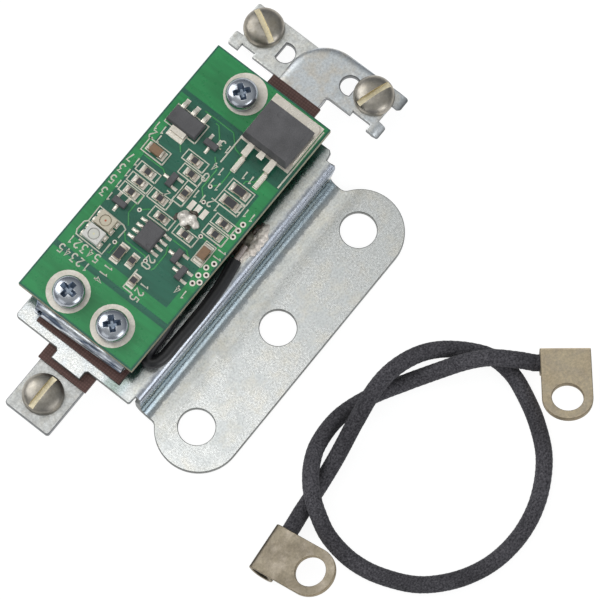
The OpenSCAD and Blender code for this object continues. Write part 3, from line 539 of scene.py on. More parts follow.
def plated(name, colour, stain, roughness, relief=0.15, metal=1, painted_shade=None, **finish):
    """A plated metal with the skin's clouds, flecks and grain.

    Painted shade gives two places along the blank, from fully shaded to unshaded, and the share of colour
    left there; the painted shade is also made rougher.
    """
    material, tree, shader = new_material(name, Metallic=metal)
    skinned = place_group(tree, skin, {"Colour": colour, "Stain": stain, "Fleck": colour,
                                       "Roughness": roughness, **finish})
    tone, rough = skinned["Colour"], skinned["Roughness"]
    # Painted shade: the colour is darkened between two places along the blank
    if painted_shade:
        shaded_at, unshaded_at, left = painted_shade
        unshaded = remap(tree, along_blank(tree), shaded_at, unshaded_at)
        tone = scaled(tree, tone, remap(tree, unshaded, 0, 1, left))
        rough = computed(tree, "ADD", rough, remap(tree, unshaded, 0, 1, SHADE_ROUGHENING, 0))
    tree.links.new(tone, shader.inputs["Base Color"])
    tree.links.new(rough, shader.inputs["Roughness"])
    raise_surface(tree, shader, skinned["Height"], relief, SKIN_DEPTH)
    return material


nickel_cut = plated("nickel_cut", NICKEL_CUT, NICKEL_STAIN, 0.5)
barrel_half = BARREL_D / 2
corner_run = BARREL_CORNER * math.pi / 2
under_run = BARREL_UNDER_CORNER * math.pi / 2
barrel_moves = [
    (BARREL_LAP, 0), (under_run, -90), (BARREL_D - 2 * BARREL_UNDER_CORNER, 0), (under_run, -90),
    (BARREL_D - BARREL_UNDER_CORNER - BARREL_CORNER, 0), (corner_run, -90),
    (barrel_half - BARREL_CORNER + LUG_REACH + LUG_W / 2, 0)]
lug_at, lug_stations, lug_run = bend_path(
    (barrel_half, BARREL_LAP + BARREL_UNDER_CORNER - barrel_half), 270, barrel_moves)
tongue_from = lug_run - LUG_REACH - LUG_W / 2

# Painted shade on the barrel's side, darkest well before the flat top and gone just before it
flat_from = tongue_from - barrel_half + BARREL_CORNER
barrel_shade = (flat_from - SHADE_FULL_BEFORE_FLAT, flat_from - SHADE_END_BEFORE_FLAT, BARREL_SHADE)
lug_finish = {"Clouds": 260.0, "Fleck": NICKEL_FLECK, "Flecks": 0.5}
# The second lug takes the same nickel at half its colour: painted shade where the key box would glint on its
# tongue
plain_nickel = plated("plain_nickel", NICKEL, NICKEL_STAIN, LUG_ROUGHNESS, **lug_finish)
shaded_nickel = plated("shaded_nickel", SHADED_NICKEL, SHADED_NICKEL_STAIN, LUG_ROUGHNESS, painted_shade=barrel_shade,
                     **lug_finish)
lug_half = LUG_W / 2
lug_outline = [Vector((-lug_half, 0)), Vector((lug_half, 0)), Vector((lug_half, lug_run - lug_half))]
lug_outline += arc((0, lug_run - lug_half), lug_half, 0, 180, ROUND_END_STEPS)[1:]


def place_lug(mouth, inner, side):
    """Takes a lug's own point to where it lies, with its tongue held up by the twist of the cable."""
    mouth, inner = Vector(mouth), Vector(inner)
    along = (inner - mouth).normalized()
    middle = mouth + along * LUG_W / 2
    turn = Matrix.Rotation(math.atan2(along.y, along.x), 3, "Z") @ Matrix.Rotation(side * LUG_RAISE, 3, "X")

    def bend(u, v, w):
        place, out = lug_at(v)
        thin = min(max((v - tongue_from) / TONGUE_TAPER, 0), 1)
        depth = (LUG_T - w) * (BARREL_WALL + (LUG_T - BARREL_WALL) * thin) / LUG_T
        across, up = place - out * depth
        return middle + turn @ Vector((u, side * across, up))

    return bend


LUGS = {  # mouth of the barrel, inner end of the cable, side of the tongue, metal
    "lug_a": (JUMPER_ROUTE[1], JUMPER_ROUTE[0], -1, plain_nickel),
    "lug_b": (JUMPER_ROUTE[-2], JUMPER_ROUTE[-1], 1, shaded_nickel),
}
for name, (mouth, inner, side, material) in LUGS.items():
    shape = pressed(lug_outline, [hole((0, lug_run - lug_half), LUG_HOLE_D)], LUG_T, LUG_EDGE,
                    place_lug(mouth, inner, side), lug_stations)
    lug = finish_piece("flag_" + name, shape, material, nickel_cut)
    dress(lug, "lug_nickel", "jumper_" + name, body="jumper")


# Mounting bracket: one zinc-plated steel sheet, blanked and bent twice. The flange has three bolt
# holes, the wall steps up to the base plate, and the base plate ends in a tab.
SHEET_T = 1.2
HOLE_PITCH = 23.5
HOLE_D = 6.8
FLANGE_END_R = 8.1
FLANGE_EDGE = 8.6
FLANGE_ROOT = 7.4
LOWER_BEND_MID = 2.8
UPPER_BEND_MID = 1.0
WALL_RUN = 2.4
JOGGLE_HALF = 27.6
ROOT_FILLET = 1.6
BASE_Y = 11.2
BASE_BACK = 37.4
BASE_NEAR = -28.8
BASE_FAR = 30.7
BASE_CORNER = 0.7
TAB_W = 6.5
TAB_L = 2
TAB_FILLET = 0.4
STACK_LINE = 24.2
BUSHING_HOLE_D = 4.7
SHEET_EDGE = 0.14
FLANGE_STEPS = 24
FILLET_STEPS = 8
SMALL_HOLE_STEPS = 24
ZINC = (0.76, 0.775, 0.765, 1)
ZINC_STAIN = (0.6, 0.64, 0.65, 1)
ZINC_FLECK = (0.8, 0.77, 0.68, 1)
ZINC_CUT = (0.2, 0.2, 0.19, 1)
BAND_FROM = 11
BAND_TO = 31
BAND_STRAY = 1.3
BAND_GRAIN = 900
RAMP_LIFT = 0.1  # added to the roughness stops, which can't be negative, and taken off after the ramp
BANDS = [  # distance along the bent sheet from the flange's edge, painted highlight, shade and reflection as a tint of the zinc, added roughness
    (11, (1, 1, 1), 0), (13, (0.84, 0.84, 0.83), 0), (13.9, (0.96, 0.96, 0.95), 0.05),
    (14.5, (1.2, 1.19, 1.15), 0.2), (15.7, (1.22, 1.21, 1.18), 0.2), (16.1, (0.58, 0.6, 0.62), 0),
    (18, (0.4, 0.48, 0.54), 0), (20.3, (0.38, 0.46, 0.53), 0), (20.7, (1.05, 0.98, 0.8), 0.05),
    (21.3, (0.95, 0.92, 0.84), 0), (21.9, (0.46, 0.51, 0.61), 0), (23.9, (0.6, 0.63, 0.72), 0),
    (24.6, (1.2, 1.2, 1.17), 0.18), (25.8, (1.1, 1.1, 1.1), 0.12), (26.6, (0.7, 0.76, 0.78), -0.08),
    (28.2, (0.38, 0.47, 0.44), -0.08), (29.8, (0.5, 0.58, 0.56), -0.08), (31, (0.95, 0.97, 1), -0.05),
]


def solids(node):
    """Lowest and highest corner, in millimetres, of each separate solid of a CAD node."""
    shape = bmesh.new()
    shape.from_mesh(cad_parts[node].data)
    bmesh.ops.remove_doubles(shape, verts=shape.verts, dist=1e-6)
    left, found = set(shape.verts), []
    while left:
        front = [left.pop()]
        solid = []
        while front:
            corner = front.pop()
            solid.append(corner.co / MM)
            linked = {edge.other_vert(corner) for edge in corner.link_edges} & left
            left -= linked
            front += linked
        found.append((Vector(map(min, zip(*solid))), Vector(map(max, zip(*solid)))))
    shape.free()
    return sorted(found, key=lambda ends: tuple(round(value, 2) for value in ends[0]))


# Zinc on the bends: bands along the bend lines paint highlights, shade and reflections into the colour, and
# frost adds roughness
zinc_steel, tree, shader = new_material("zinc_steel", Metallic=1)
skinned = place_group(tree, skin, {
    "Colour": ZINC, "Stain": ZINC_STAIN, "Fleck": ZINC_FLECK, "Flecks": 0.5, "Clouds": 210.0,
    "Graininess": 0.2, "Grain": 2600.0, "Roughness": 0.23, "Unevenness": 0.08})
stray = noise_at(tree, surface_place(tree), BAND_GRAIN, 4, 0.65)
strayed = computed(tree, "MULTIPLY_ADD", stray, BAND_STRAY, along_blank(tree))
share = remap(tree, strayed, BAND_FROM + BAND_STRAY / 2, BAND_TO + BAND_STRAY / 2)
painted_light_stops, dullings = [], []
for place, colour, dulling in BANDS:
    stop_at = (place - BAND_FROM) / (BAND_TO - BAND_FROM)
    painted_light_stops.append((stop_at, colour))
    dullings.append((stop_at, [RAMP_LIFT + dulling] * 3))
light_painted_zinc = blended(tree, 1.0, skinned["Colour"], add_ramp(tree, share, painted_light_stops), blend_type="MULTIPLY")
duller = computed(tree, "ADD", skinned["Roughness"], add_ramp(tree, share, dullings))
tree.links.new(light_painted_zinc, shader.inputs["Base Color"])
tree.links.new(computed(tree, "SUBTRACT", duller, RAMP_LIFT), shader.inputs["Roughness"])
raise_surface(tree, shader, skinned["Height"], 0.25, SKIN_DEPTH)
zinc_cut = plated("zinc_cut", ZINC_CUT, ZINC_STAIN, 0.5, Cloudiness=0.3)
lower_run = LOWER_BEND_MID * math.pi / 2
upper_run = UPPER_BEND_MID * math.pi / 2
sheet_at, sheet_stations, sheet_run = bend_path(
    (-FLANGE_EDGE, SHEET_T / 2), 0,
    [(FLANGE_EDGE + FLANGE_ROOT, 0), (lower_run, 90), (WALL_RUN, 0), (upper_run, -90),
     (BASE_BACK - BASE_Y, 0)])
hole_v = FLANGE_EDGE
wall_v = FLANGE_EDGE + FLANGE_ROOT + lower_run
base_v = wall_v + WALL_RUN + upper_run
fillet_rise = math.sqrt((FLANGE_END_R + ROOT_FILLET) ** 2 - (JOGGLE_HALF + ROOT_FILLET - HOLE_PITCH) ** 2)
fillet_turn = math.degrees(math.asin(fillet_rise / (FLANGE_END_R + ROOT_FILLET)))
fillet_v = FLANGE_END_R + fillet_rise
tab_v = base_v + STACK_LINE - BASE_Y
base_end_v = sheet_run
bracket_outline = arc((HOLE_PITCH, FLANGE_END_R), FLANGE_END_R, -90, fillet_turn, FLANGE_STEPS)
bracket_outline += arc((JOGGLE_HALF + ROOT_FILLET, fillet_v), ROOT_FILLET, 180 + fillet_turn, 180,
                       FILLET_STEPS)[1:]
bracket_outline += [Vector(p) for p in (
    (JOGGLE_HALF, wall_v), (JOGGLE_HALF + 0.5, wall_v + 1.2), (JOGGLE_HALF + 1.5, base_v - 0.9),
    (JOGGLE_HALF + 1.2, base_v - 0.2), (JOGGLE_HALF + 1.2, base_v + 0.4), (BASE_FAR - 0.4, base_v + 0.7),
    (BASE_FAR, base_v + 1.2))]
bracket_outline += arc((BASE_FAR - BASE_CORNER, base_end_v - BASE_CORNER), BASE_CORNER, 0, 90, 6)
bracket_outline += arc((BASE_NEAR + BASE_CORNER, base_end_v - BASE_CORNER), BASE_CORNER, 90, 180, 6)
tab_low, tab_high = tab_v - TAB_W / 2, tab_v + TAB_W / 2
bracket_outline += [Vector(p) for p in (
    (BASE_NEAR, tab_high + TAB_FILLET), (BASE_NEAR - TAB_FILLET, tab_high), (BASE_NEAR - TAB_L, tab_high),
    (BASE_NEAR - TAB_L, tab_low), (BASE_NEAR - TAB_FILLET, tab_low), (BASE_NEAR, tab_low - TAB_FILLET),
    (BASE_NEAR, base_v + 0.2), (BASE_NEAR + 0.3, base_v - 0.1), (-JOGGLE_HALF + 0.5, base_v - 0.2),
    (-JOGGLE_HALF + 0.5, base_v - 0.7), (-JOGGLE_HALF, base_v - 1.1))]
bracket_outline += arc((-JOGGLE_HALF - ROOT_FILLET, fillet_v), ROOT_FILLET, 0, -fillet_turn, FILLET_STEPS)
bracket_outline += arc((-HOLE_PITCH, FLANGE_END_R), FLANGE_END_R, 180 - fillet_turn, 270, FLANGE_STEPS)[1:]
bracket_holes = [hole((x, hole_v), HOLE_D) for x in (-HOLE_PITCH, 0, HOLE_PITCH)]
bracket_holes += [hole(((low.x + high.x) / 2, tab_v), BUSHING_HOLE_D, SMALL_HOLE_STEPS)
                  for low, high in solids("rivet_bushings")]


def bend_bracket(u, v, w):
    """Bends the flat blank into flange, wall and base plate."""
    place, out = sheet_at(v)
    across, up = place + out * (w - SHEET_T / 2)
    return Vector((u, across, up))


shape = pressed(bracket_outline, bracket_holes, SHEET_T, SHEET_EDGE, bend_bracket, sheet_stations)
dress(finish_piece("bent_bracket", shape, zinc_steel, zinc_cut), "zinc_steel", "mounting_bracket")


# Insulators: two strips of brown pressed fabric laminate. One keeps the terminals off the base
# plate's underside, the other keeps the shunt strip off its top.
LAMINATE_DARK = (0.045, 0.024, 0.02, 1)
LAMINATE_PALE = (0.16, 0.088, 0.076, 1)
LAMINATE_EDGE = 0.06
THREADS_PER_MM = 1.9
MOTTLE_SCALE = 900
WELD = 0.002
KEEN_ANGLE = math.radians(35)


def soften(node, name, material, width, sharp=40):
    """A CAD node's own shape with its sharp edges eased, as a new piece."""
    shape = bmesh.new()
    shape.from_mesh(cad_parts[node].data)
    shape.transform(Matrix.Scale(1 / MM, 4))
    bmesh.ops.remove_doubles(shape, verts=shape.verts, dist=WELD)
    bmesh.ops.dissolve_limit(shape, angle_limit=math.radians(1), verts=shape.verts, edges=shape.edges)
    keen = [e for e in shape.edges if len(e.link_faces) == 2 and e.calc_face_angle() > KEEN_ANGLE]
    bmesh.ops.bevel(shape, geom=keen, offset=width, segments=2, profile=0.5, affect="EDGES",
                    clamp_overlap=True)
    return finish_piece(name, shape, material, sharp=sharp)


# Woven lay: threads crossing at right angles, over and under, on a plane given in thread widths
weave, given, gives = new_group("woven_lay", {"Place": Vector((0, 0, 0))},
                                {"Height": "NodeSocketFloat"})
ways = add_node(weave, "ShaderNodeSeparateXYZ", {"Vector": given["Place"]}).outputs
waves = []
for way in ("X", "Y"):
    swing = computed(weave, "MULTIPLY", ways[way], math.pi)
    waves.append(computed(weave, "SINE", swing))
lift = computed(weave, "ABSOLUTE", computed(weave, "MULTIPLY", *waves))
weave.links.new(lift, gives["Height"])

fibre, tree, shader = new_material("fibre_insulation", Roughness=0.62, Specular_IOR_Level=0.3)
here = surface_place(tree)
threads = THREADS_PER_MM / MM
woven = place_group(tree, weave, {"Place": stretched(tree, here, (threads, threads, threads))})["Height"]
tone = computed(tree, "MULTIPLY_ADD", woven, 0.55, 0.1)
tone = computed(tree, "MULTIPLY_ADD", noise_at(tree, here, MOTTLE_SCALE, 4), 0.5, tone)
tree.links.new(blended(tree, tone, LAMINATE_DARK, LAMINATE_PALE), shader.inputs["Base Color"])
raise_surface(tree, shader, woven, 0.5, 0.08)
for node in ("lower_insulator", "upper_insulator"):
    dress(soften(node, node + "_sheet", fibre, LAMINATE_EDGE), "fibre_insulation", node)


# Near terminal: a flat strip of plated metal under the stack. Two rivets hold it, and its free end
# takes one screw.
NEAR_EDGE = 0.16
NEAR_CORNER = 0.6
SCREW_HOLE_D = 3.7
RIVET_HOLE_D = 3.0
TERMINAL_T = 1.5
STRIP_ROUGHNESS = 0.36
STRIP_RELIEF = 0.25
STRIP_ZINC = (0.76, 0.77, 0.75, 1)
STRIP_STAIN = (0.56, 0.58, 0.57, 1)
STRIP_FLECK = (0.7, 0.66, 0.56, 1)
STRIP_CUT = (0.19, 0.195, 0.2, 1)
NEAR_ZINC = (0.62, 0.63, 0.62, 1)
NEAR_STAIN = (0.42, 0.43, 0.42, 1)
NEAR_FLECK = (0.46, 0.43, 0.36, 1)

strip_finish = {"Clouds": 420.0, "Cloudiness": 0.6, "Flecks": 0.35, "Graininess": 0.22}
bright_strip = plated("bright_strip", STRIP_ZINC, STRIP_STAIN, STRIP_ROUGHNESS, STRIP_RELIEF,
                      Fleck=STRIP_FLECK, **strip_finish)
near_strip = plated("near_strip", NEAR_ZINC, NEAR_STAIN, STRIP_ROUGHNESS, STRIP_RELIEF, Fleck=NEAR_FLECK,
                    **strip_finish)
strip_cut = plated("strip_cut", STRIP_CUT, STRIP_STAIN, 0.45, Cloudiness=0.3)


def middle(low, high):
    """Middle of a box, seen from above."""
    return (low.xy + high.xy) / 2


rivet_xs = [middle(*ends).x for ends in solids("stack_rivets")]


def round_box(low, high, radius, steps=5):
    """A rectangle with round corners, run anticlockwise."""
    ring = []
    for x, y, start in ((high.x, low.y, -90), (high.x, high.y, 0), (low.x, high.y, 90), (low.x, low.y, 180)):
        centre = (x - math.copysign(radius, x - low.x - 1e-6), y - math.copysign(radius, y - low.y - 1e-6))
        ring += arc(centre, radius, start, start + 90, steps)
    return ring


low, high = (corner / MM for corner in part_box("near_terminal"))
near_holes = [hole(middle(*solids("near_terminal_screw")[0]), SCREW_HOLE_D)]
near_holes += [hole((x, STACK_LINE), RIVET_HOLE_D, SMALL_HOLE_STEPS) for x in rivet_xs if x < 0]
near_floor = low.z
shape = pressed(round_box(low, high, NEAR_CORNER), near_holes, TERMINAL_T, NEAR_EDGE,
                lambda u, v, w: Vector((u, v, near_floor + w)))
dress(finish_piece("near_terminal_strip", shape, near_strip, strip_cut), "bright_strip", "near_terminal")


# Rear terminals: two pressed arms of plated metal that turn off to either side, stacked on each other.
# Each has a screw, a D-shaped window and two locating ears. The right one has a rolled outer edge and
# ears that are curled down.
NECK_HALF = 4.6
ARM_HALF = 4.05
ARM_STEP = 0.9
ARM_END = 15
ARM_CORNER = 7.8
CORNER_STEPS = 20
EAR_W = 2.8
EAR_L = 1.6
EAR_ROUND = 0.5
EAR_BEND = 60
OUTER_EAR_SHARE = 0.4
EAR_CURL = 1.3
EAR_ROOT = ARM_END - 0.2
EAR_STATION = 0.2
EAR_STATIONS = 8
EAR_SHADE_FULL_PAST = 1.3
EAR_SHADE_END_PAST = 0.5
EAR_SHADE = 0.3
WINDOW_D = 3.8
WINDOW_OFFSET = 0.6
WINDOW_FROM_NECK = 0.3
WINDOW_CHORD = 30
INNER_FILLET = 0.7
ROLL_REACH = 1.7
ROLL_DROP = 0.8
ROLL_STEPS = 6
PLAIN_EDGE = 0.18
ROLLED_ZINC = (0.68, 0.715, 0.735, 1)
ROLLED_STAIN = (0.52, 0.55, 0.57, 1)
ROLLED_FLECK = (0.66, 0.58, 0.46, 1)

# Painted shade on the curled tips of the ears, darkest at their ends
ear_shade = (ARM_END + EAR_SHADE_FULL_PAST, ARM_END + EAR_SHADE_END_PAST, EAR_SHADE)
rolled_zinc = plated("rolled_zinc", ROLLED_ZINC, ROLLED_STAIN, 0.32, relief=0.3, Clouds=170.0,
                     Cloudiness=0.55, Fleck=ROLLED_FLECK, Flecks=0.5, Graininess=0.2, painted_shade=ear_shade)


def arm_outline(arm_x, step_v, inner_x):
    """Outline of an arm that turns off towards positive v, with its ears, run anticlockwise."""
    outer, edge = arm_x + ARM_HALF, arm_x - ARM_HALF
    step_x = edge - ARM_STEP
    ring = [Vector((inner_x, -NECK_HALF))]
    ring += arc((outer - ARM_CORNER, ARM_CORNER - NECK_HALF), ARM_CORNER, -90, 0, CORNER_STEPS)
    ring += arc((outer - EAR_ROUND, ARM_END + EAR_L - EAR_ROUND), EAR_ROUND, 0, 90, 4)
    ring += arc((outer - EAR_W + EAR_ROUND, ARM_END + EAR_L - EAR_ROUND), EAR_ROUND, 90, 180, 4)
    ring += [Vector((outer - EAR_W, ARM_END)), Vector((edge + EAR_W / 2, ARM_END))]
    ring += arc((edge + EAR_W / 2 - EAR_ROUND, ARM_END + EAR_L - EAR_ROUND), EAR_ROUND, 0, 90, 4)
    ring += arc((edge - EAR_W / 2 + EAR_ROUND, ARM_END + EAR_L - EAR_ROUND), EAR_ROUND, 90, 180, 4)
    ring += [Vector((edge - EAR_W / 2, ARM_END - EAR_L / 2)), Vector((edge, ARM_END - EAR_L / 2)),
             Vector((edge, step_v)), Vector((step_x, step_v))]
    ring += arc((step_x - INNER_FILLET, NECK_HALF + INNER_FILLET), INNER_FILLET, 0, -90, 6)
    return ring + [Vector((inner_x, NECK_HALF))]


def arm_rolls(ring, reach, drop):
    """Roll of the outer edge, full round its bend and fading out along its straight side."""
    full = range(1, CORNER_STEPS + 2)
    return [(reach, drop) if k in full else (PLAIN_EDGE, PLAIN_EDGE) for k in range(len(ring))]


def arm_window(arm_x):
    """The D-shaped window between the neck and the screw, run clockwise."""
    centre = (arm_x - WINDOW_OFFSET, NECK_HALF + WINDOW_D / 2 + WINDOW_FROM_NECK)
    return arc(centre, WINDOW_D / 2, WINDOW_CHORD, -180 - WINDOW_CHORD, 28)


def bend_ears(arm_x, floor, bend, side):
    """Curls the ears down, the inner one more, and puts the arm on its side of the stack."""

    def place(u, v, w):
        if bend and v > EAR_ROOT:
            full = math.radians(bend if u < arm_x else bend * OUTER_EAR_SHARE)
            curled = min(v - EAR_ROOT, EAR_CURL)
            turn = full * curled / EAR_CURL
            past = v - EAR_ROOT - curled
            spot = leg_step(curled, EAR_CURL, 0, full) + past * Vector((math.cos(turn), math.sin(turn)))
            v = EAR_ROOT + spot.x + (w - TERMINAL_T / 2) * math.sin(turn)
            w = TERMINAL_T / 2 - spot.y + (w - TERMINAL_T / 2) * math.cos(turn)
        return Vector((u, STACK_LINE + side * v, floor + w))

    return place


REAR_ARMS = {  # middle of the arm, its step, its side, bend of its ears, reach and drop of its edge, metal
    "rear_right_terminal": (43.7, 10.1, -1, EAR_BEND, ROLL_REACH, ROLL_DROP, rolled_zinc),
    "rear_left_terminal": (41.6, 11.1, 1, 0, PLAIN_EDGE, PLAIN_EDGE, bright_strip),
}
for node, (arm_x, step_v, side, bend, reach, drop, material) in REAR_ARMS.items():
    low, high = (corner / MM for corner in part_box(node))
    floor_z = high.z - TERMINAL_T
    screw = middle(*solids(node + "_screw")[0])
    arm_holes = [hole((screw.x, side * (screw.y - STACK_LINE)), SCREW_HOLE_D), arm_window(arm_x)]
    arm_holes += [hole((x, 0), RIVET_HOLE_D, SMALL_HOLE_STEPS) for x in rivet_xs if x > 0]
    outline = arm_outline(arm_x, step_v, low.x)
    shape = pressed(outline, arm_holes, TERMINAL_T, PLAIN_EDGE, bend_ears(arm_x, floor_z, bend, side),
                    [EAR_ROOT + EAR_STATION * k for k in range(EAR_STATIONS)], ROLL_STEPS,
                    arm_rolls(outline, reach, drop))
    dress(finish_piece(node + "_arm", shape, material, strip_cut, sharp=50), "bright_strip", node)


# Shunt strip, rivets and their bushings: the resistive strip that carries the current through the
# stack, and the four steel rivets that clamp it, each in an insulating ring.
ALLOY = (0.5, 0.32, 0.2, 1)
ALLOY_STAIN = (0.3, 0.18, 0.11, 1)
RIVET_STEEL = (0.5, 0.51, 0.52, 1)
RIVET_STAIN = (0.3, 0.3, 0.3, 1)
SHUNT_EASE = 0.08
RIVET_EASE = 0.25
BUSHING_EASE = 0.05
shunt_alloy = plated("shunt_alloy", ALLOY, ALLOY_STAIN, 0.4)
rivet_steel = plated("rivet_steel", RIVET_STEEL, RIVET_STAIN, 0.35)
dress(soften("shunt_strip", "shunt_strip_sheet", shunt_alloy, SHUNT_EASE), "shunt_alloy", "shunt_strip")
dress(soften("stack_rivets", "clamped_rivets", rivet_steel, RIVET_EASE), "rivet_steel", "stack_rivets")
dress(soften("rivet_bushings", "bushing_rings", fibre, BUSHING_EASE), "fibre_insulation", "rivet_bushings")


# Stands: bright strip folded into hairpins. The front one shows under the near end of the board as
# a mirror-like nose, drawn in and pierced at its left end; the rear one stays under the board.
STAND_T = 0.8
STAND_FOLD_MID = 1.0
STAND_L = 10.2
STAND_W = 20.4
STAND_PLACE = Vector((-26.3, 15.5))
STAND_TURN = math.radians(2.4)
STAND_EDGE = 0.12
STAND_CURL = 1.3
STAND_SCREW_HOLE_D = 3.1
STAND_DRAW = 1.2
DRAW_RUN = 1.2
WAIST_DRAW = 0.9
WAIST_HALF = 1.4
CURL_HOLE_D = 0.9
CURL_HOLE_IN = 1
CURL_HOLE_PAST = 0.6
FOLD_STATIONS = 16
REAR_STAND_EASE = 0.1
BRIGHT = (0.76, 0.79, 0.82, 1)
BRIGHT_STAIN = (0.5, 0.54, 0.6, 1)
NOSE_DARK_REFLECTION = (0.1, 0.125, 0.17, 1)
REFLECTION_STREAKS = (0.16, 0.9, 1)

# Mirror-like nose: painted reflections and shade run as dark streaks along the fold, over the skin of bright
# plate
bright_nose, tree, shader = new_material("bright_nose", Metallic=1, Roughness=0.2)
skinned = place_group(tree, skin, {"Colour": BRIGHT, "Stain": BRIGHT_STAIN, "Fleck": BRIGHT, "Clouds": 160.0,
                                   "Cloudiness": 0.6})
streak = noise_at(tree, stretched(tree, map_place(tree, "blank"), REFLECTION_STREAKS), 1, 3, 0.55)
reflections_painted = blended(tree, remap(tree, streak, 0.4, 0.56), skinned["Colour"], NOSE_DARK_REFLECTION)
tree.links.new(reflections_painted, shader.inputs["Base Color"])
raise_surface(tree, shader, streak, 0.25, 0.3)

stand_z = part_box("front_stand")[0].z / MM
fold_run = STAND_FOLD_MID * math.pi
leg_run = STAND_L - STAND_FOLD_MID - STAND_T / 2
stand_run = leg_run + fold_run + leg_run
stand_at = bend_path((STAND_L, stand_z + STAND_T / 2), 180, [(leg_run, 0), (fold_run, -180), (leg_run, 0)])[0]
nose_v = leg_run + fold_run / 2
front_rivets = [Vector((x, STACK_LINE)) for x in rivet_xs if x < 0]
board_screws = [middle(*ends) for ends in solids("board_screws")]
stand_pivot = sum(front_rivets, Vector((0, 0))) / len(front_rivets)
stand_turn = Matrix.Rotation(STAND_TURN, 2)


def bend_stand(u, v, w):
    """Folds the strip into a hairpin and sets it a little askew about its rivets."""
    place, out = stand_at(v)
    along, up = place + out * (w - STAND_T / 2)
    spot = STAND_PLACE + Vector((along, u))
    return (stand_pivot + stand_turn @ (spot - stand_pivot)).to_3d() + Vector((0, 0, up))


def on_strip(spot, is_upper):
    """Where a place above the part lies on the flat strip of the front stand."""
    along, across = stand_pivot + stand_turn.transposed() @ (spot - stand_pivot) - STAND_PLACE
    return across, stand_run - (STAND_L - along) if is_upper else STAND_L - along


drawn_in = STAND_W - STAND_DRAW
waist = STAND_W - WAIST_DRAW
stand_outline = [Vector(p) for p in (
    (0, 0), (STAND_W - STAND_CURL, 0), (STAND_W, STAND_CURL), (STAND_W, leg_run - DRAW_RUN),
    (waist, nose_v - WAIST_HALF), (drawn_in, nose_v), (waist, nose_v + WAIST_HALF),
    (STAND_W, stand_run - leg_run + DRAW_RUN), (STAND_W, stand_run - STAND_CURL),
    (STAND_W - STAND_CURL, stand_run), (0, stand_run))]
stand_holes = [hole(on_strip(spot, True), STAND_SCREW_HOLE_D, SMALL_HOLE_STEPS)
               for spot in board_screws if spot.x < 0]
stand_holes += [hole(on_strip(spot, False), RIVET_HOLE_D, SMALL_HOLE_STEPS) for spot in front_rivets]
stand_holes += [hole((drawn_in - CURL_HOLE_IN, nose_v + CURL_HOLE_PAST), CURL_HOLE_D, 16)]
shape = pressed(stand_outline, stand_holes, STAND_T, STAND_EDGE, bend_stand,
                [leg_run + fold_run * k / FOLD_STATIONS for k in range(FOLD_STATIONS + 1)])
dress(finish_piece("hairpin_stand", shape, bright_nose, bright_nose), "bright_strip", "front_stand")
dress(soften("rear_stand", "rear_stand_strip", bright_strip, REAR_STAND_EASE), "bright_strip", "rear_stand")


# Circuit board: glass laminate under a glossy green mask, held by three screws. Where copper lies under
# the mask it is lighter, and bare copper at the screws and pads is tinned. Plain numerals and outlines
# are printed on top.
MASK_OVER_COPPER = (0.024, 0.255, 0.08, 1)
MASK_OVER_GLASS = (0.018, 0.125, 0.078, 1)
MASK_OVER_TRACE = (0.05, 0.3, 0.09, 1)
GLASS_EDGE = (0.42, 0.4, 0.28, 1)
PRINT_INK = (0.7, 0.69, 0.58, 1)
TIN = (0.88, 0.83, 0.74, 1)
TIN_STAIN = (0.62, 0.54, 0.43, 1)
HOLE_SHADE = (0.05, 0.03, 0.02, 1)
COPPER_T = 0.035
INK_T = 0.02
LINE_STEP = 0.004
BOARD_EDGE = 0.08
EDGE_TILT = 0.3
STRAND_STRETCH = (1600, 180, 1600)
DRIFT_SCALE = 70
DUST_SCALE = 700
LAYER_STRETCH = (900, 900, 9000)
INK_SCALE = 2500
BORE_SCALE = 4000
POURS = [  # left, right, front and back of each copper field
    (0.35, 9.5, 0.35, 25.65), (10.65, 12.9, 0.35, 25.65), (12.9, 46, 23.6, 25.65), (12.9, 42.4, 0.35, 2.4),
    (39.4, 42.4, 2.4, 4.6), (46.9, 56.8, 11.9, 25.65), (46.9, 56.8, 0.35, 11.9),
]
TRACE_W = 0.28
TRACES = [
    [(20.5, 17.3), (22.4, 18.8), (26.5, 18.8)], [(16.6, 9), (17.2, 8.7), (20.6, 8.7), (21.9, 9.3)],
    [(45.2, 17), (45.2, 16.3), (43.7, 15), (42, 13.6)], [(19.3, 17.2), (18, 16), (18, 11.4), (17.3, 10.8)],
    [(24, 17.6), (25.3, 16.2), (25.3, 15.6)], [(32.3, 9.5), (34.2, 11.4), (38.4, 11.4), (40.2, 13.2)],
    [(35.3, 10.4), (36.6, 9.2), (39, 9.2), (42.6, 9.6)], [(27, 5.9), (27, 3), (30.4, 2.9)],
    [(37, 18.6), (38.6, 20), (38.6, 22.6)], [(31.9, 18), (32.6, 19), (32.6, 23.4)],
    [(22.4, 5), (23.4, 6.2), (23.4, 9.4)], [(43.4, 4.5), (41, 4.5), (40, 6), (39.3, 6)],
    [(14.4, 17.2), (14.4, 16.8), (17, 16.8)], [(43.3, 9.5), (43.6, 11.2), (45.8, 13.4), (45.8, 20)],
]
PRINT_W = 0.3
DIGIT_H = 1.6
DIGIT_PITCH = 1.45
DIGITS = {  # strokes of plain numerals, on a field 2 wide and 4 high
    "0": [(0.6, 0), (0, 0.7), (0, 3.3), (0.6, 4), (1.4, 4), (2, 3.3), (2, 0.7), (1.4, 0), (0.6, 0)],
    "1": [(0.4, 3.2), (1.2, 4), (1.2, 0)],
    "2": [(0, 3.3), (0.6, 4), (1.4, 4), (2, 3.3), (2, 2.6), (0, 0), (2, 0)],
    "3": [(0, 4), (2, 4), (0.9, 2.4), (1.5, 2.4), (2, 1.8), (2, 0.6), (1.4, 0), (0.6, 0), (0, 0.5)],
    "4": [(1.5, 0), (1.5, 4), (0, 1.2), (2, 1.2)],
    "5": [(1.9, 4), (0.2, 4), (0, 2.2), (1.4, 2.4), (2, 1.8), (2, 0.6), (1.4, 0), (0.6, 0), (0, 0.4)],
    "7": [(0, 4), (2, 4), (0.7, 0)],
}
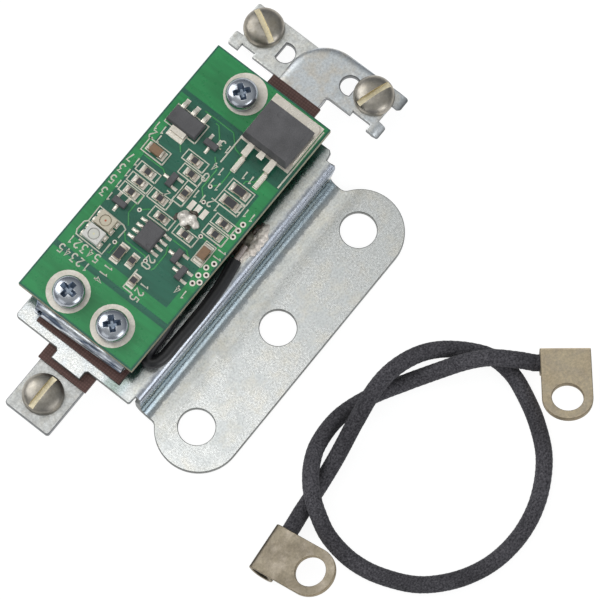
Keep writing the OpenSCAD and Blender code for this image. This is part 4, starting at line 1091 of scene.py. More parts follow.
NUMERALS = [  # place of the middle, way it reads in degrees, number
    (9.8, 21.2, 90, "12345"), (12.2, 20.8, 90, "54321"), (10.8, 15.2, 180, "114"), (12.15, 8, 180, "125"),
    (17.4, 10.2, 180, "20"), (16.7, 2.2, 90, "14"), (36.5, 23.9, 90, "12"), (38.3, 24.3, 90, "11"),
    (42.7, 12.9, 90, "13"), (38.7, 11.3, 90, "14"), (40.8, 5.3, 90, "111"), (35.4, 2.2, 90, "112"),
    (26.4, 1.1, 180, "11"), (22.7, 24.1, 90, "13"), (32.7, 10.7, 90, "11"), (33, 7.7, 90, "12"),
    (29.1, 14.9, 90, "12"), (25.5, 24.3, 90, "15"), (28.1, 24.3, 90, "13"), (30.7, 24.3, 90, "17"),
    (36.1, 10.7, 90, "110"),
]
PRINT_BOXES = [  # left, right, front and back of each printed outline
    (24.65, 26.6, 18.55, 23.05), (27, 28.9, 18.55, 23.05), (29.5, 31.4, 18.55, 23.05),
    (26.8, 28.9, 13.9, 18.2), (29.1, 33.8, 12.1, 14.2), (33.8, 35.9, 12.15, 16.7), (36.3, 38.4, 13.1, 17.8),
    (24.1, 26.4, 11.2, 15.85), (24.3, 26.4, 5.9, 10.4), (27.7, 29.8, 1.8, 6.3), (30.2, 32.3, 1.8, 6.3),
    (33.8, 36.4, 3.1, 8.1), (36.4, 39.1, 3.1, 8.1), (33, 35.7, 19.7, 24.6), (22.5, 27, 2.3, 4.5),
    (39.8, 43.9, 17.6, 24.6),
]
PRINT_LINES = [
    [(15.85, 17.7), (13.4, 17.7), (13.5, 23.7), (14.3, 24.1), (16.2, 24), (16.75, 23.5)],
    [(17.55, 17.3), (19.6, 17.2), (20, 18), (20.15, 23.6), (16.75, 23.5), (16.7, 20)],
    [(40, 11.8), (46.6, 11.8)], [(42.6, 0.7), (56, 0.7)], [(11.1, 8.9), (11.1, 10.9), (15.2, 10.9)],
]
SMALL_VIAS = [(24, 17.6), (16.6, 17.3), (17.3, 10.8), (35.3, 10.4), (32.3, 9.5), (27, 5.9)]
SMALL_VIA_R = 0.42
SMALL_BORE_R = 0.2
RING_VIAS = [(19.3, 1.6), (20.2, 0.7), (21.1, 1.7), (22, 0.6), (23.1, 1.5), (24.5, 0.8), (30.5, 1.3),
             (32, 1.3), (33.4, 1.3)]
RING_VIA_R = 0.56
RING_BORE_R = 0.26
BRIDGE_PADS = [(30.5, 10.8), (30.5, 9.45), (30.5, 8)]
BRIDGE_PAD_HALF = (0.95, 0.5)
SCREW_PADS = [(4.3, 7.8), (4.3, 18), (52.8, 16.3)]
SCREW_PAD_R = 4.05

board_low, board_high = (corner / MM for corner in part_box("circuit_board"))


def on_board(x, y, lift=0.0):
    """A place on the board's top, from its near corner at the flange."""
    return Vector((board_low.x + x, board_low.y + y, board_high.z + lift))


def numeral_lines(x, y, way, number):
    """Strokes of a number on the board, centred on a place."""
    turn = Matrix.Rotation(math.radians(way), 2)
    scale = DIGIT_H / 4
    lines = []
    for k, digit in enumerate(number):
        start = (k - len(number) / 2) * DIGIT_PITCH + (DIGIT_PITCH - 2 * scale) / 2
        strokes = [turn @ Vector((start + u * scale, (v - 2) * scale)) for u, v in DIGITS[digit]]
        lines.append([(x + p.x, y + p.y) for p in strokes])
    return lines


# Mask gloss: faint ripple, dust and tone of the cured green mask
gloss, given, gives = new_group(
    "mask_gloss", {"Colour": (0.03, 0.25, 0.08, 1)},
    {"Colour": "NodeSocketColor", "Roughness": "NodeSocketFloat", "Height": "NodeSocketFloat"})
here = surface_place(gloss)
glass = noise_at(gloss, stretched(gloss, here, STRAND_STRETCH), 1)
drift = computed(gloss, "ADD", noise_at(gloss, here, DRIFT_SCALE, 3), glass)
toned = scaled(gloss, given["Colour"], remap(gloss, drift, 0.7, 1.3, 0.82, 1.2))
gloss.links.new(toned, gives["Colour"])
dusty = remap(gloss, noise_at(gloss, here, DUST_SCALE), 0.3, 0.8, 0.26, 0.34)
gloss.links.new(dusty, gives["Roughness"])
gloss.links.new(glass, gives["Height"])


def masked(name, colour):
    """Green mask over copper or over bare glass laminate."""
    material, tree, shader = new_material(name, Specular_IOR_Level=0.45)
    coated = place_group(tree, gloss, {"Colour": colour})
    tree.links.new(coated["Colour"], shader.inputs["Base Color"])
    tree.links.new(coated["Roughness"], shader.inputs["Roughness"])
    raise_surface(tree, shader, coated["Height"], 0.08, 0.05)
    return material


def wavering(name, colour, scale, detail, low, high, **sockets):
    """A material whose colour wavers between two shares of itself; also its tree, shader and noise."""
    material, tree, shader = new_material(name, **sockets)
    specks = noise_at(tree, surface_place(tree), scale, detail)
    tone = scaled(tree, colour[:3], remap(tree, specks, 0, 1, low, high))
    tree.links.new(tone, shader.inputs["Base Color"])
    return material, tree, shader, specks


def new_growth(name, inputs):
    """A geometry tree with named inputs for its sizes, and its two ends."""
    growth = bpy.data.node_groups.new(name, "GeometryNodeTree")
    growth.interface.new_socket("Geometry", in_out="INPUT", socket_type="NodeSocketGeometry")
    for key, kind in inputs.items():
        growth.interface.new_socket(key, in_out="INPUT", socket_type=kind)
    growth.interface.new_socket("Geometry", in_out="OUTPUT", socket_type="NodeSocketGeometry")
    return growth, add_node(growth, "NodeGroupInput").outputs


def end_growth(growth, given, made, chosen=True):
    """Ends a tree: real geometry, its chosen faces in the material that it is given."""
    real = add_node(growth, "GeometryNodeRealizeInstances", {"Geometry": made})
    painted = add_node(growth, "GeometryNodeSetMaterial", {
        "Geometry": real.outputs[0], "Selection": chosen, "Material": given["Material"]})
    add_node(growth, "NodeGroupOutput", {"Geometry": painted.outputs[0]})


def grow(name, growth, places, inputs, lines=(), spans=()):
    """Runs a geometry tree on points or lines and keeps what it makes as a plain mesh.

    Spans give each point a vector of its own, such as its size or its turn.
    """
    seed = bpy.data.meshes.new(name)
    seed.from_pydata([p * MM for p in places], lines, [])
    if spans:
        span = seed.attributes.new("span", "FLOAT_VECTOR", "POINT")
        span.data.foreach_set("vector", [value for vector in spans for value in vector])
    piece = add_object(name, seed)
    run = piece.modifiers.new("growth", "NODES")
    run.node_group = growth
    for socket in growth.interface.items_tree:
        if socket.in_out == "INPUT" and socket.name in inputs:
            run[socket.identifier] = inputs[socket.name]
    return apply_modifiers(piece)


# Spots: a round flat disc on every point
spots, given = new_growth("round_spots", {"Radius": "NodeSocketFloat", "Height": "NodeSocketFloat",
                                          "Material": "NodeSocketMaterial"})
disc = add_node(spots, "GeometryNodeMeshCylinder", {
    "Vertices": 28, "Radius": given["Radius"], "Depth": given["Height"]})
laid = add_node(spots, "GeometryNodeInstanceOnPoints", {
    "Points": given["Geometry"], "Instance": disc.outputs["Mesh"]})
end_growth(spots, given, laid.outputs[0])

# Plates: a rectangle on every point, as wide and deep as the point's own size
plates, given = new_growth("laid_plates", {"Material": "NodeSocketMaterial"})
brick = add_node(plates, "GeometryNodeMeshCube", {"Size": (1, 1, 1)})
span = add_node(plates, "GeometryNodeInputNamedAttribute", {"Name": "span"}, data_type="FLOAT_VECTOR")
laid = add_node(plates, "GeometryNodeInstanceOnPoints", {
    "Points": given["Geometry"], "Instance": brick.outputs["Mesh"], "Scale": span.outputs["Attribute"]})
end_growth(plates, given, laid.outputs[0])

# Ribbons: a flat printed line along every run of edges
ribbons, given = new_growth("printed_ribbons", {"Width": "NodeSocketFloat", "Height": "NodeSocketFloat",
                                                "Material": "NodeSocketMaterial"})
runs = add_node(ribbons, "GeometryNodeMeshToCurve", {"Mesh": given["Geometry"]})
level = add_node(ribbons, "GeometryNodeSetCurveNormal", {"Curve": runs.outputs[0]}, mode="Z_UP")
nib = add_node(ribbons, "GeometryNodeCurvePrimitiveQuadrilateral", {
    "Width": given["Width"], "Height": given["Height"]})
drawn = add_node(ribbons, "GeometryNodeCurveToMesh", {
    "Curve": level.outputs[0], "Profile Curve": nib.outputs[0], "Fill Caps": True})
end_growth(ribbons, given, drawn.outputs[0])


def lay_plates(name, boxes, thickness, material):
    """Thin rectangles on the board, from (left, right, front, back)."""
    places = [on_board((a + b) / 2, (c + d) / 2, thickness / 2) for a, b, c, d in boxes]
    spans = [Vector((b - a, d - c, thickness)) * MM for a, b, c, d in boxes]
    return grow(name, plates, places, {"Material": material}, spans=spans)


def lay_lines(name, lines, width, thickness, material, lift=0.0):
    """Thin printed lines on the board, at slightly different levels where they cross."""
    places, edges = [], []
    for n, line in enumerate(lines):
        edges += [(len(places) + k, len(places) + k + 1) for k in range(len(line) - 1)]
        places += [on_board(x, y, lift + thickness / 2 + n % 4 * LINE_STEP) for x, y in line]
    inputs = {"Material": material, "Width": width * MM, "Height": thickness * MM}
    return grow(name, ribbons, places, inputs, edges)


def lay_spots(name, spots_at, radius, thickness, material):
    """Thin discs on the board."""
    places = [on_board(x, y, thickness / 2) for x, y in spots_at]
    inputs = {"Material": material, "Radius": radius * MM, "Height": thickness * MM}
    return grow(name, spots, places, inputs)


mask_glass = masked("mask_over_glass", MASK_OVER_GLASS)
mask_copper = masked("mask_over_copper", MASK_OVER_COPPER)
mask_trace = masked("mask_over_trace", MASK_OVER_TRACE)
tinned = plated("tinned_pad", TIN, TIN_STAIN, 0.4, relief=0.25, metal=0.25, Clouds=500.0, Cloudiness=0.55,
                Graininess=0.1)
ink = wavering("print_ink", PRINT_INK, INK_SCALE, 3, 0.75, 1.15, Roughness=0.7)[0]
# Dark discs stand for the via holes: painted shade in the bore
shaded_bore = wavering("bored_hole", HOLE_SHADE, BORE_SCALE, 2, 0, 1, Roughness=0.6)[0]

glass_edge, tree, shader = new_material("glass_edge", Roughness=0.7)
fibres = noise_at(tree, stretched(tree, surface_place(tree), LAYER_STRETCH), 1, 3)
cut = scaled(tree, GLASS_EDGE[:3], remap(tree, fibres, 0, 1, 0.6, 1.2))
tree.links.new(cut, shader.inputs["Base Color"])

board = soften("circuit_board", "green_board", mask_glass, BOARD_EDGE)
board.data.materials.append(glass_edge)
for face in board.data.polygons:
    face.material_index = int(abs(face.normal.z) < EDGE_TILT)
dress(board, "board_laminate", "circuit_board")

box_lines = [[(a, c), (b, c), (b, d), (a, d), (a, c)] for a, b, c, d in PRINT_BOXES]
digit_lines = [line for numeral in NUMERALS for line in numeral_lines(*numeral)]
half_x, half_y = BRIDGE_PAD_HALF
bridge_boxes = [(x - half_x, x + half_x, y - half_y, y + half_y) for x, y in BRIDGE_PADS]
TRIM = [
    (lay_plates("copper_pours", POURS, COPPER_T, mask_copper), "board_laminate"),
    (lay_lines("copper_traces", TRACES, TRACE_W, COPPER_T, mask_trace), "board_laminate"),
    (lay_lines("print_boxes", box_lines, PRINT_W, INK_T, ink, COPPER_T), "lamp_white"),
    (lay_lines("print_lines", PRINT_LINES, PRINT_W, INK_T, ink, COPPER_T), "lamp_white"),
    (lay_lines("print_numerals", digit_lines, PRINT_W, INK_T, ink, COPPER_T), "lamp_white"),
    (lay_spots("via_rings", SMALL_VIAS, SMALL_VIA_R, COPPER_T + INK_T, tinned), "solder"),
    (lay_spots("via_holes", SMALL_VIAS, SMALL_BORE_R, COPPER_T + 2 * INK_T, shaded_bore), "board_laminate"),
    (lay_spots("ground_rings", RING_VIAS, RING_VIA_R, COPPER_T + INK_T, tinned), "solder"),
    (lay_spots("ground_holes", RING_VIAS, RING_BORE_R, COPPER_T + 2 * INK_T, shaded_bore), "board_laminate"),
    (lay_plates("bridge_pads", bridge_boxes, 2 * COPPER_T, tinned), "solder"),
    (lay_spots("screw_pads", SCREW_PADS, SCREW_PAD_R, COPPER_T + INK_T, tinned), "solder"),
]
for piece, slot in TRIM:
    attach(piece, "base")


# Board screws: bright zinc pan heads with a cross recess, each on a split spring washer and a tinned
# pad. Their shanks go through the board into the stands.
BOARD_HEAD_D = 6.0
BOARD_HEAD_H = 2.2
BOARD_SHANK_D = 3.0
BOARD_SHANK_L = 4.0
WASHER_T = 1.0
WASHER_EDGE = 0.14
BOARD_RIM_H = 0.55
BOARD_CROWN = 0.82
RECESS_L = 3.5
RECESS_W = 1.15
RECESS_DEPTH = 1.3
RECESS_FOOT = 0.45
RECESS_TURNS = (46, 84, 52)
HEAD_EASE = 0.07
EASE_ANGLE = math.radians(38)
SHANK_EASE = 0.2
RIM_EASE = 0.12
BRIGHT_ZINC = (0.5, 0.525, 0.565, 1)
BRIGHT_ZINC_STAIN = (0.4, 0.44, 0.5, 1)
ZINC_IN_SHADE = (0.22, 0.27, 0.34, 1)


def screw_profile(head_d, head_h, rim_h, crown, shank_d, shank_l, steps=14):
    """Side view of a screw as (radius, height): shank, flat underside, rim and a crown, boxier below 1."""
    half, core = head_d / 2, shank_d / 2
    points = [(0, -shank_l), (core - SHANK_EASE, -shank_l), (core, SHANK_EASE - shank_l), (core, 0),
              (half - RIM_EASE, 0), (half, RIM_EASE), (half, rim_h)]
    for k in range(1, steps + 1):
        turn = math.pi / 2 * k / steps
        across = max(math.cos(turn), 0) ** crown
        points.append((half * across, rim_h + (head_h - rim_h) * math.sin(turn) ** crown))
    return points


def turned(profile, sides=64):
    """A solid turned about Z from a profile that starts and ends on the axis."""
    shape = bmesh.new()
    rings = []
    for radius, height in profile:
        turns = [math.tau * n / sides for n in range(sides)] if radius > 1e-4 else [0]
        rings.append([shape.verts.new((radius * math.cos(a), radius * math.sin(a), height)) for a in turns])
    for low, high in zip(rings, rings[1:]):
        for n in range(sides):
            corners = [low[n % len(low)], low[(n + 1) % len(low)],
                       high[(n + 1) % len(high)], high[n % len(high)]]
            shape.faces.new(list(dict.fromkeys(corners)))
    return shape


def wedge(foot, top, low_z, high_z):
    """A block whose (length, width) changes from its foot to its top, for cutting; second material."""
    shape = bmesh.new()
    bmesh.ops.create_cube(shape, size=1)
    for corner in shape.verts:
        span, z = (top, high_z) if corner.co.z > 0 else (foot, low_z)
        corner.co = (corner.co.x * span[0], corner.co.y * span[1], z)
    for face in shape.faces:
        face.material_index = 1
    return shape


def cut_from(shape, *cutters):
    """A solid with others cut out of it and its edges eased."""
    solids_made = []
    for solid in (shape, *cutters):
        bmesh.ops.recalc_face_normals(solid, faces=solid.faces)
        mesh = bpy.data.meshes.new("solid")
        solid.to_mesh(mesh)
        solid.free()
        mesh.materials.append(None)
        mesh.materials.append(None)
        solids_made.append(add_object("solid", mesh))
    whole = solids_made[0]
    for cutter in solids_made[1:]:
        whole.modifiers.new("cut", "BOOLEAN").object = cutter
    easing = whole.modifiers.new("ease", "BEVEL")
    easing.width = HEAD_EASE
    easing.segments = 2
    easing.limit_method = "ANGLE"
    easing.angle_limit = EASE_ANGLE
    shape = bmesh.new()
    shape.from_mesh(apply_modifiers(whole).data)
    for solid in solids_made:
        bpy.data.objects.remove(solid)
    return shape


# Planted heads: one shape stood on every point and turned by the point's own angle; the faces of its
# recess keep the material that they came with
planted, given = new_growth("planted_heads", {"Head": "NodeSocketObject", "Material": "NodeSocketMaterial"})
head = add_node(planted, "GeometryNodeObjectInfo", {"Object": given["Head"]})
turn = add_node(planted, "GeometryNodeInputNamedAttribute", {"Name": "span"}, data_type="FLOAT_VECTOR")
stood = add_node(planted, "GeometryNodeInstanceOnPoints", {
    "Points": given["Geometry"], "Rotation": turn.outputs["Attribute"], "Instance": head.outputs["Geometry"]})
index = add_node(planted, "GeometryNodeInputMaterialIndex").outputs[0]
outer = add_node(planted, "FunctionNodeCompare", {2: index, 3: 0}, data_type="INT", operation="EQUAL")
end_growth(planted, given, stood.outputs[0], outer.outputs[0])

bright_screw = plated("bright_screw", BRIGHT_ZINC, BRIGHT_ZINC_STAIN, 0.2, relief=0.04, Clouds=300.0,
                      Graininess=0.05)
# The cross recess and the spring washers under the heads take a darker zinc: painted shade
shaded_zinc = plated("shaded_zinc", ZINC_IN_SHADE, BRIGHT_ZINC_STAIN, 0.3, Clouds=900.0, Cloudiness=0.6)
recess_top = (RECESS_L, RECESS_W)
recess_foot = (RECESS_L * RECESS_FOOT, RECESS_W * RECESS_FOOT)
recess_z = (BOARD_HEAD_H - RECESS_DEPTH, BOARD_HEAD_H)
recess = [wedge(recess_foot, recess_top, *recess_z), wedge(recess_foot[::-1], recess_top[::-1], *recess_z)]
profile = screw_profile(BOARD_HEAD_D, BOARD_HEAD_H, BOARD_RIM_H, BOARD_CROWN, BOARD_SHANK_D, BOARD_SHANK_L)
shape = cut_from(turned(profile), *recess)
pattern_head = finish_piece("pattern_head", shape, bright_screw, shaded_zinc)
places = [Vector((*spot, board_high.z + WASHER_T)) for spot in board_screws]
screw_turns = [(0, 0, math.radians(turn)) for turn in RECESS_TURNS]
cross_screws = grow("cross_screws", planted, places, {"Head": pattern_head, "Material": bright_screw},
                    spans=screw_turns)
bpy.data.objects.remove(pattern_head)
dress(cross_screws, "bright_screw", "board_screws")
dress(soften("board_washers", "spring_washers", shaded_zinc, WASHER_EDGE), "bright_screw", "board_washers")


# Terminal screws: slotted nickel pan heads, dulled with age, one on each terminal. Each rides on its
# own body, and its slot shows the brass under the plating.
TERMINAL_HEAD_D = 7.7
TERMINAL_HEAD_H = 2.3
TERMINAL_RIM_H = 0.25
TERMINAL_CROWN = 0.86
TERMINAL_SHANK_D = 3.6
THREAD_PITCH = 0.7
THREAD_DEPTH = 0.25
THREAD_START = 0.3
SLOT_W = 1.05
SLOT_DEPTH = 1.0
SLOT_TURNS = {"near_terminal_screw": 0, "rear_right_terminal_screw": -18, "rear_left_terminal_screw": 62}
SCREW_NICKEL = (0.44, 0.41, 0.36, 1)
SCREW_STAIN = (0.18, 0.17, 0.15, 1)
SCREW_FLECK = (0.36, 0.31, 0.22, 1)
SLOT_BRASS = (0.78, 0.7, 0.5, 1)
SLOT_STAIN = (0.6, 0.52, 0.35, 1)
nickel_screw = plated("nickel_screw", SCREW_NICKEL, SCREW_STAIN, 0.33, relief=0.1, Clouds=190.0,
                      Cloudiness=0.7, Fleck=SCREW_FLECK, Flecks=0.4)
slot_brass = plated("slot_brass", SLOT_BRASS, SLOT_STAIN, 0.42)
for node, turn in SLOT_TURNS.items():
    low, high = solids(node)[0]
    seat = high.z - TERMINAL_HEAD_H
    profile = screw_profile(TERMINAL_HEAD_D, TERMINAL_HEAD_H, TERMINAL_RIM_H, TERMINAL_CROWN,
                            TERMINAL_SHANK_D, seat - low.z)
    threads = round((seat - low.z) / 2 / THREAD_PITCH)
    ridges = [(TERMINAL_SHANK_D / 2 - step % 2 * THREAD_DEPTH,
               low.z - seat + THREAD_START + step * THREAD_PITCH / 2) for step in range(2 * threads + 1)]
    slot_span = (2 * TERMINAL_HEAD_D, SLOT_W)
    slot = wedge(slot_span, slot_span, TERMINAL_HEAD_H - SLOT_DEPTH, TERMINAL_HEAD_H + SLOT_DEPTH)
    shape = cut_from(turned(profile[:2] + ridges + profile[3:]), slot)
    spot = middle(low, high)
    shape.transform(Matrix.Translation((*spot, seat)) @ Matrix.Rotation(math.radians(turn), 4, "Z"))
    dress(finish_piece(node + "_head", shape, nickel_screw, slot_brass), "nickel_screw", node, body=node)


# Moulded parts: bodies of the transistors and of the control chip, in black moulding compound with a
# fine matt grain. They are moulded round their leads.
MOULD_BLACK = (0.108, 0.106, 0.11, 1)
PORE_SCALE = 6000
HAZE_SCALE = 300
mould, tree, shader = new_material("black_mould", Specular_IOR_Level=0.35)
here = surface_place(tree)
pores = noise_at(tree, here, PORE_SCALE, 3)
haze = computed(tree, "ADD", pores, noise_at(tree, here, HAZE_SCALE, 3))
dark = scaled(tree, MOULD_BLACK[:3], remap(tree, haze, 0.6, 1.4, 0.65, 1.4))
tree.links.new(dark, shader.inputs["Base Color"])
tree.links.new(remap(tree, pores, 0, 1, 0.5, 0.75), shader.inputs["Roughness"])
raise_surface(tree, shader, pores, 0.3, 0.05)
MOULDED = {"power_transistor_body": 0.12, "driver_transistor_body": 0.06, "control_chip_body": 0.06,
           "small_transistor_bodies": 0.05}
for node, edge in MOULDED.items():
    dress(soften(node, node + "_mould", mould, edge, sharp=30), "black_mould", node)


# Leads: tinned copper frames of those parts and of the lamps, bent down to the board and soldered to
# their pads.
LEAD_NODES = ["driver_transistor_leads", "control_chip_leads", "small_transistor_leads", "lamp_leads"]
LEAD_EASE = 0.05
FRAME_EASE = 0.08
PAD_SIDE = 0.07
PAD_REACH = 0.22
LEAD_TIN = (0.88, 0.83, 0.74, 1)
LEAD_STAIN = (0.5, 0.45, 0.37, 1)
POWER_FEET = [(39.9, 43.1, 3.45, 4.47), (39.9, 43.1, 8.53, 9.55)]
POWER_LAND = (45.8, 56.5, 1, 12)


def pad_under(low, high, along, across):
    """A pad that reaches out past the ends and sides of what is soldered to it."""
    is_along_x = high.x - low.x > high.y - low.y
    past_x, past_y = (along, across) if is_along_x else (across, along)
    return (low.x - past_x - board_low.x, high.x + past_x - board_low.x,
            low.y - past_y - board_low.y, high.y + past_y - board_low.y)


part_pads = POWER_FEET + [POWER_LAND]
tinned_lead = plated("tinned_lead", LEAD_TIN, LEAD_STAIN, 0.26, relief=0.1, metal=0.75, Clouds=500.0,
                     Graininess=0.08)
dress(soften("power_transistor_frame", "power_transistor_frame_tinned", tinned_lead, FRAME_EASE),
      "tinned_lead", "power_transistor_frame")
for node in LEAD_NODES:
    dress(soften(node, node + "_tinned", tinned_lead, LEAD_EASE), "tinned_lead", node)
    part_pads += [pad_under(*ends, PAD_REACH, PAD_SIDE) for ends in solids(node)]


# Chip resistors and capacitors: ceramic blocks with plated ends, soldered to a pad at each end. A
# resistor has its dark film on top.
RESISTOR_BEIGE = (0.5, 0.43, 0.31, 1)
FILM_DARK = (0.045, 0.045, 0.05, 1)
CERAMIC_TAN = (0.25, 0.15, 0.085, 1)
FILM_T = 0.03
FILM_MARGIN = 0.08
CAP_TIN = (0.74, 0.69, 0.61, 1)
CAP_STAIN = (0.3, 0.25, 0.19, 1)
SOLDER_REACH = 0.42
SOLDER_SIDE = 0.1
RESISTOR_EASE = 0.05
CAPACITOR_EASE = 0.08
END_EASE = 0.1
SPECKLE_SCALE = 3000


def ceramic(name, colour):
    """Fired ceramic with a faint speckle."""
    material, tree, shader, speckle = wavering(name, colour, SPECKLE_SCALE, 4, 0.75, 1.25, Roughness=0.45)
    raise_surface(tree, shader, speckle, 0.12, 0.04)
    return material


beige = ceramic("resistor_beige", RESISTOR_BEIGE)
dress(soften("resistor_bodies", "resistor_blocks", beige, RESISTOR_EASE), "resistor_film", "resistor_bodies")
tan = ceramic("capacitor_ceramic", CERAMIC_TAN)
dress(soften("capacitor_bodies", "capacitor_blocks", tan, CAPACITOR_EASE), "capacitor_ceramic",
      "capacitor_bodies")
film_places, film_spans = [], []
film_margin = Vector((FILM_MARGIN, FILM_MARGIN, 0))
for low, high in solids("resistor_bodies"):
    film_places.append(Vector((*middle(low, high), high.z + FILM_T / 2)))
    film_spans.append((Vector((high.x - low.x, high.y - low.y, FILM_T)) - 2 * film_margin) * MM)
dark_film = ceramic("resistor_film", FILM_DARK)
film = grow("resistor_films", plates, film_places, {"Material": dark_film}, spans=film_spans)
cap_metal = plated("cap_metal", CAP_TIN, CAP_STAIN, 0.3, relief=0.3, metal=0.7, Clouds=900.0, Cloudiness=0.9,
                   Graininess=0.2)
for node in ("resistor_ends", "capacitor_ends"):
    dress(soften(node, node + "_plated", cap_metal, END_EASE), "tinned_lead", node)
    part_pads += [pad_under(*ends, SOLDER_SIDE, SOLDER_REACH) for ends in solids(node)]
pads = lay_plates("solder_pads", part_pads, 2 * COPPER_T, tinned)
for piece, slot in ((film, "resistor_film"), (pads, "solder")):
    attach(piece, "base")


# Indicator lamps: white moulded housings with a round well, a pale lens in one and a red-tinted lens
# in the other.
HOUSING = (0.72, 0.71, 0.67, 1)
WARM_HOUSING = (0.6, 0.55, 0.43, 1)
HOUSING_EASE = 0.12
LENS_EASE = 0.15
LENS_R = 1.1
LENS_SWIRL = 0.12
SWIRL_SCALE = 2500
DIE_TO = 0.16
CLEAR_FROM = 0.3
CLEAR_TO = 0.78
LENSES = {  # lens, die in its middle and shaded rim
    "green_lamp_lens": ("green_lens", (0.66, 0.66, 0.6), (0.75, 0.72, 0.45), (0.5, 0.5, 0.46)),
    "red_lamp_lens": ("red_lens", (0.6, 0.55, 0.42), (0.5, 0.12, 0.06), (0.45, 0.39, 0.29)),
}
shells = soften("lamp_housings", "lamp_shells", ceramic("lamp_white", HOUSING), HOUSING_EASE)
shells.data.materials.append(ceramic("lamp_warm", WARM_HOUSING))
between = (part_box("green_lamp_lens")[1].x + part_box("red_lamp_lens")[0].x) / 2
for face in shells.data.polygons:
    face.material_index = int(face.center.x > between)
dress(shells, "lamp_white", "lamp_housings")
for node, (slot, clear, die, rim) in LENSES.items():
    low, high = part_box(node)
    lens_material, tree, shader = new_material(slot, Roughness=0.18)
    here = surface_place(tree)
    flat = add_node(tree, "ShaderNodeVectorMath", {0: here, 1: (1, 1, 0)}, operation="MULTIPLY")
    centre = (*middle(low, high), 0)
    out = add_node(tree, "ShaderNodeVectorMath", {0: flat.outputs[0], 1: centre}, operation="DISTANCE")
    away = computed(tree, "MULTIPLY", out.outputs["Value"], 1 / (LENS_R * MM))
    stray = computed(tree, "MULTIPLY_ADD", noise_at(tree, here, SWIRL_SCALE, 3), LENS_SWIRL, away)
    rings = add_ramp(tree, stray, ((DIE_TO, die), (CLEAR_FROM, clear), (CLEAR_TO, clear), (1, rim)))
    tree.links.new(rings, shader.inputs["Base Color"])
    dress(soften(node, node + "_drop", lens_material, LENS_EASE), slot, node)


# Solder: the bridge across the setting pads and the joints of the ground wire, lumpy and bright, with
# burnt flux round them.
SOLDER = (0.95, 0.9, 0.83, 1)
SOLDER_STAIN = (0.3, 0.25, 0.19, 1)
COLD_SOLDER_LIT = (0.97, 0.9, 0.83, 1)
LIT_COLD_STAIN = (0.75, 0.66, 0.56, 1)
DARK_LUMP_COLOUR = (0.17, 0.16, 0.12, 1)
FLUX = (0.02, 0.013, 0.007, 1)
LUMP_VOXEL = 0.13
LUMP_SWELL = 0.32
LUMP_PITS = 0.08
SWELLS_PER_MM = 1.1
PITS_PER_MM = 2.9
LUMP_EASING = 6
BRIDGE_BALLS = [  # place on the board and half sizes of what runs together into a lump
    ((28, 10.6, 0.1), (1.25, 1.15, 0.95)), ((28.3, 9.2, 0.1), (1.1, 1.2, 0.85)),
    ((27.5, 9.9, 0), (1.2, 0.9, 0.7)), ((28.1, 8, 0), (0.8, 0.7, 0.6)),
]
BRIDGE_FLUX = [
    ((27.2, 11.6, 0), (1.1, 0.6, 0.16)), ((29.5, 9.4, 0), (0.6, 1, 0.16)), ((26.8, 9, 0), (0.6, 1, 0.14)),
]
BRACKET_BALLS = [  # the same on the bracket, from its base plate
    ((6.9, 11.6, 0), (1.1, 0.9, 0.8)), ((8.4, 11.6, 0.1), (1.6, 1.1, 0.9)),
    ((10, 11.9, 0.1), (1.6, 1.2, 0.9)), ((11.5, 12.2, 0), (1.3, 0.9, 0.7)),
    ((4.8, 12, 0.3), (0.8, 0.5, 0.7)), ((5.7, 12, 0.2), (0.9, 0.6, 0.6)),
]
# Dark lumps, and after them dark patches, between the ground joint and the board's edge
DARK_BALLS = [
    ((7, 13.3, 0), (1.7, 0.9, 0.8)), ((8.6, 13.5, 0.1), (1.4, 0.8, 0.9)), ((5.6, 13.2, 0), (1, 0.7, 0.6)),
]
BRACKET_DARK_PATCHES = [
    ((6.6, 14.1, 0), (2.6, 0.7, 0.7)), ((9.9, 13.4, 0), (1.9, 0.5, 0.8)), ((11.6, 13.1, 0), (0.9, 0.4, 0.6)),
]
BOARD_BALLS = [((-9.4, 16.2, 0), (1.4, 1.3, 1.2)), ((-8.6, 16.6, 0), (1, 0.9, 0.8))]
solder = plated("solder", SOLDER, SOLDER_STAIN, 0.3, relief=0.12, metal=0.35, Clouds=800.0, Cloudiness=0.5,
                Grain=1500.0)
# The ground joint is matt solder with a light stain: painted light where the board shades it
lit_cold_solder = plated("lit_cold_solder", COLD_SOLDER_LIT, LIT_COLD_STAIN, 0.42, relief=0.2, metal=0.3, Clouds=700.0)
dark_lump = plated("dark_lump", DARK_LUMP_COLOUR, FLUX, 0.4, metal=0.2, Clouds=700.0, Cloudiness=0.9)
flux = plated("burnt_flux", FLUX, SOLDER_STAIN, 0.3, metal=0, Clouds=900.0, Cloudiness=0.25)


def lump(name, balls, floor, up, material):
    """Balls run together into one uneven lump that stands on a level, or hangs from it."""
    shape = bmesh.new()
    for centre, half in balls:
        spot = Matrix.Translation((centre[0], centre[1], floor + up * centre[2]))
        bmesh.ops.create_icosphere(shape, subdivisions=4, radius=1, matrix=spot @ Matrix.Diagonal((*half, 1)))
    mesh = bpy.data.meshes.new(name)
    shape.to_mesh(mesh)
    shape.free()
    rough = add_object(name, mesh)
    remesh = rough.modifiers.new("fuse", "REMESH")
    remesh.mode = "VOXEL"
    remesh.voxel_size = LUMP_VOXEL
    ease = rough.modifiers.new("ease", "SMOOTH")
    ease.iterations = LUMP_EASING
    shape = bmesh.new()
    shape.from_mesh(apply_modifiers(rough).data)
    bpy.data.objects.remove(rough)
    shape.normal_update()
    for corner in shape.verts:
        swell = LUMP_SWELL * noise.noise(corner.co * SWELLS_PER_MM)
        pits = LUMP_PITS * noise.noise(corner.co * PITS_PER_MM)
        corner.co += corner.normal * (swell + pits)
        corner.co.z = up * max(up * corner.co.z, up * floor)
    return finish_piece(name, shape, material, sharp=180)


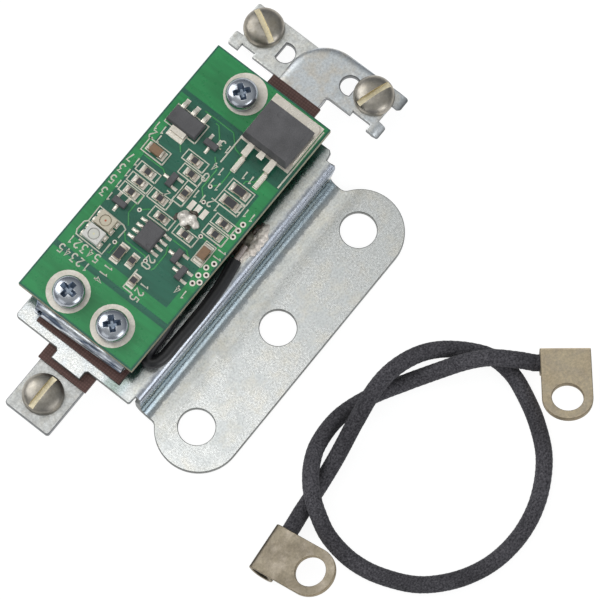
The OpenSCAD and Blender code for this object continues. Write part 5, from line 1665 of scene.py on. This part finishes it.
base_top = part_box("upper_insulator")[0].z / MM
bridge_at = [((*on_board(x, y).xy, z), half) for (x, y, z), half in BRIDGE_BALLS]
bridge_flux_at = [((*on_board(x, y).xy, z), half) for (x, y, z), half in BRIDGE_FLUX]
dress(lump("bridge_lump", bridge_at, board_high.z, 1, solder), "solder", "solder_bridge")
dress(lump("ground_lumps", BRACKET_BALLS, base_top, 1, lit_cold_solder), "solder", "ground_solder")
LOOSE_LUMPS = [
    lump("board_joint_lump", BOARD_BALLS, board_low.z, -1, solder),
    lump("dull_lump", DARK_BALLS, base_top, 1, dark_lump),
    lump("bridge_flux", bridge_flux_at, board_high.z + COPPER_T, 1, flux),
    lump("ground_flux", BRACKET_DARK_PATCHES, base_top, 1, flux),
]
for piece in LOOSE_LUMPS:
    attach(piece, "base")


# Ground wire: black insulated lead, bared and soldered to the bracket at one end and to the underside
# of the board at the other.
GROUND_ROUTE = [
    (3.5, 12.6, 8.7), (-1.5, 11.7, 8.8), (-6.5, 11.3, 9), (-11, 11.2, 9.3), (-15.5, 11.2, 9.5),
    (-18.2, 11.2, 9.5), (-20, 11.7, 9.5), (-20.9, 12.7, 9.5), (-20.2, 13.8, 9.5), (-18.4, 14.1, 9.5),
    (-15.5, 14.2, 9.6), (-12.5, 14.6, 9.9), (-10.6, 15.6, 10.2),
]
WIRE_D = 2.4
WIRE_STEP = 0.4
WIRE_SIDES = 28
BARE_EASE = 0.05
SCUFF_SCALE = 600
WIRE_BLACK = (0.012, 0.012, 0.014, 1)
BARE_COPPER = (0.62, 0.56, 0.52, 1)
BARE_STAIN = (0.25, 0.2, 0.2, 1)
sleeve, tree, shader, scuff = wavering("wire_black", WIRE_BLACK, SCUFF_SCALE, 4, 0.6, 1.6,
                                       Specular_IOR_Level=0.5)
tree.links.new(remap(tree, scuff, 0, 1, 0.28, 0.48), shader.inputs["Roughness"])
raise_surface(tree, shader, scuff, 0.08, 0.1)
wire_path = smooth_path(GROUND_ROUTE, WIRE_STEP)
wire = finish_piece("ground_lead", tube_mesh(wire_path, WIRE_SIDES, lambda around, along: WIRE_D / 2), sleeve)
dress(wire, "wire_black", "ground_wire")
bare = plated("bare_copper", BARE_COPPER, BARE_STAIN, 0.3, Graininess=0.25)
dress(soften("ground_wire_ends", "bare_ends", bare, BARE_EASE, sharp=60), "bare_copper", "ground_wire_ends")
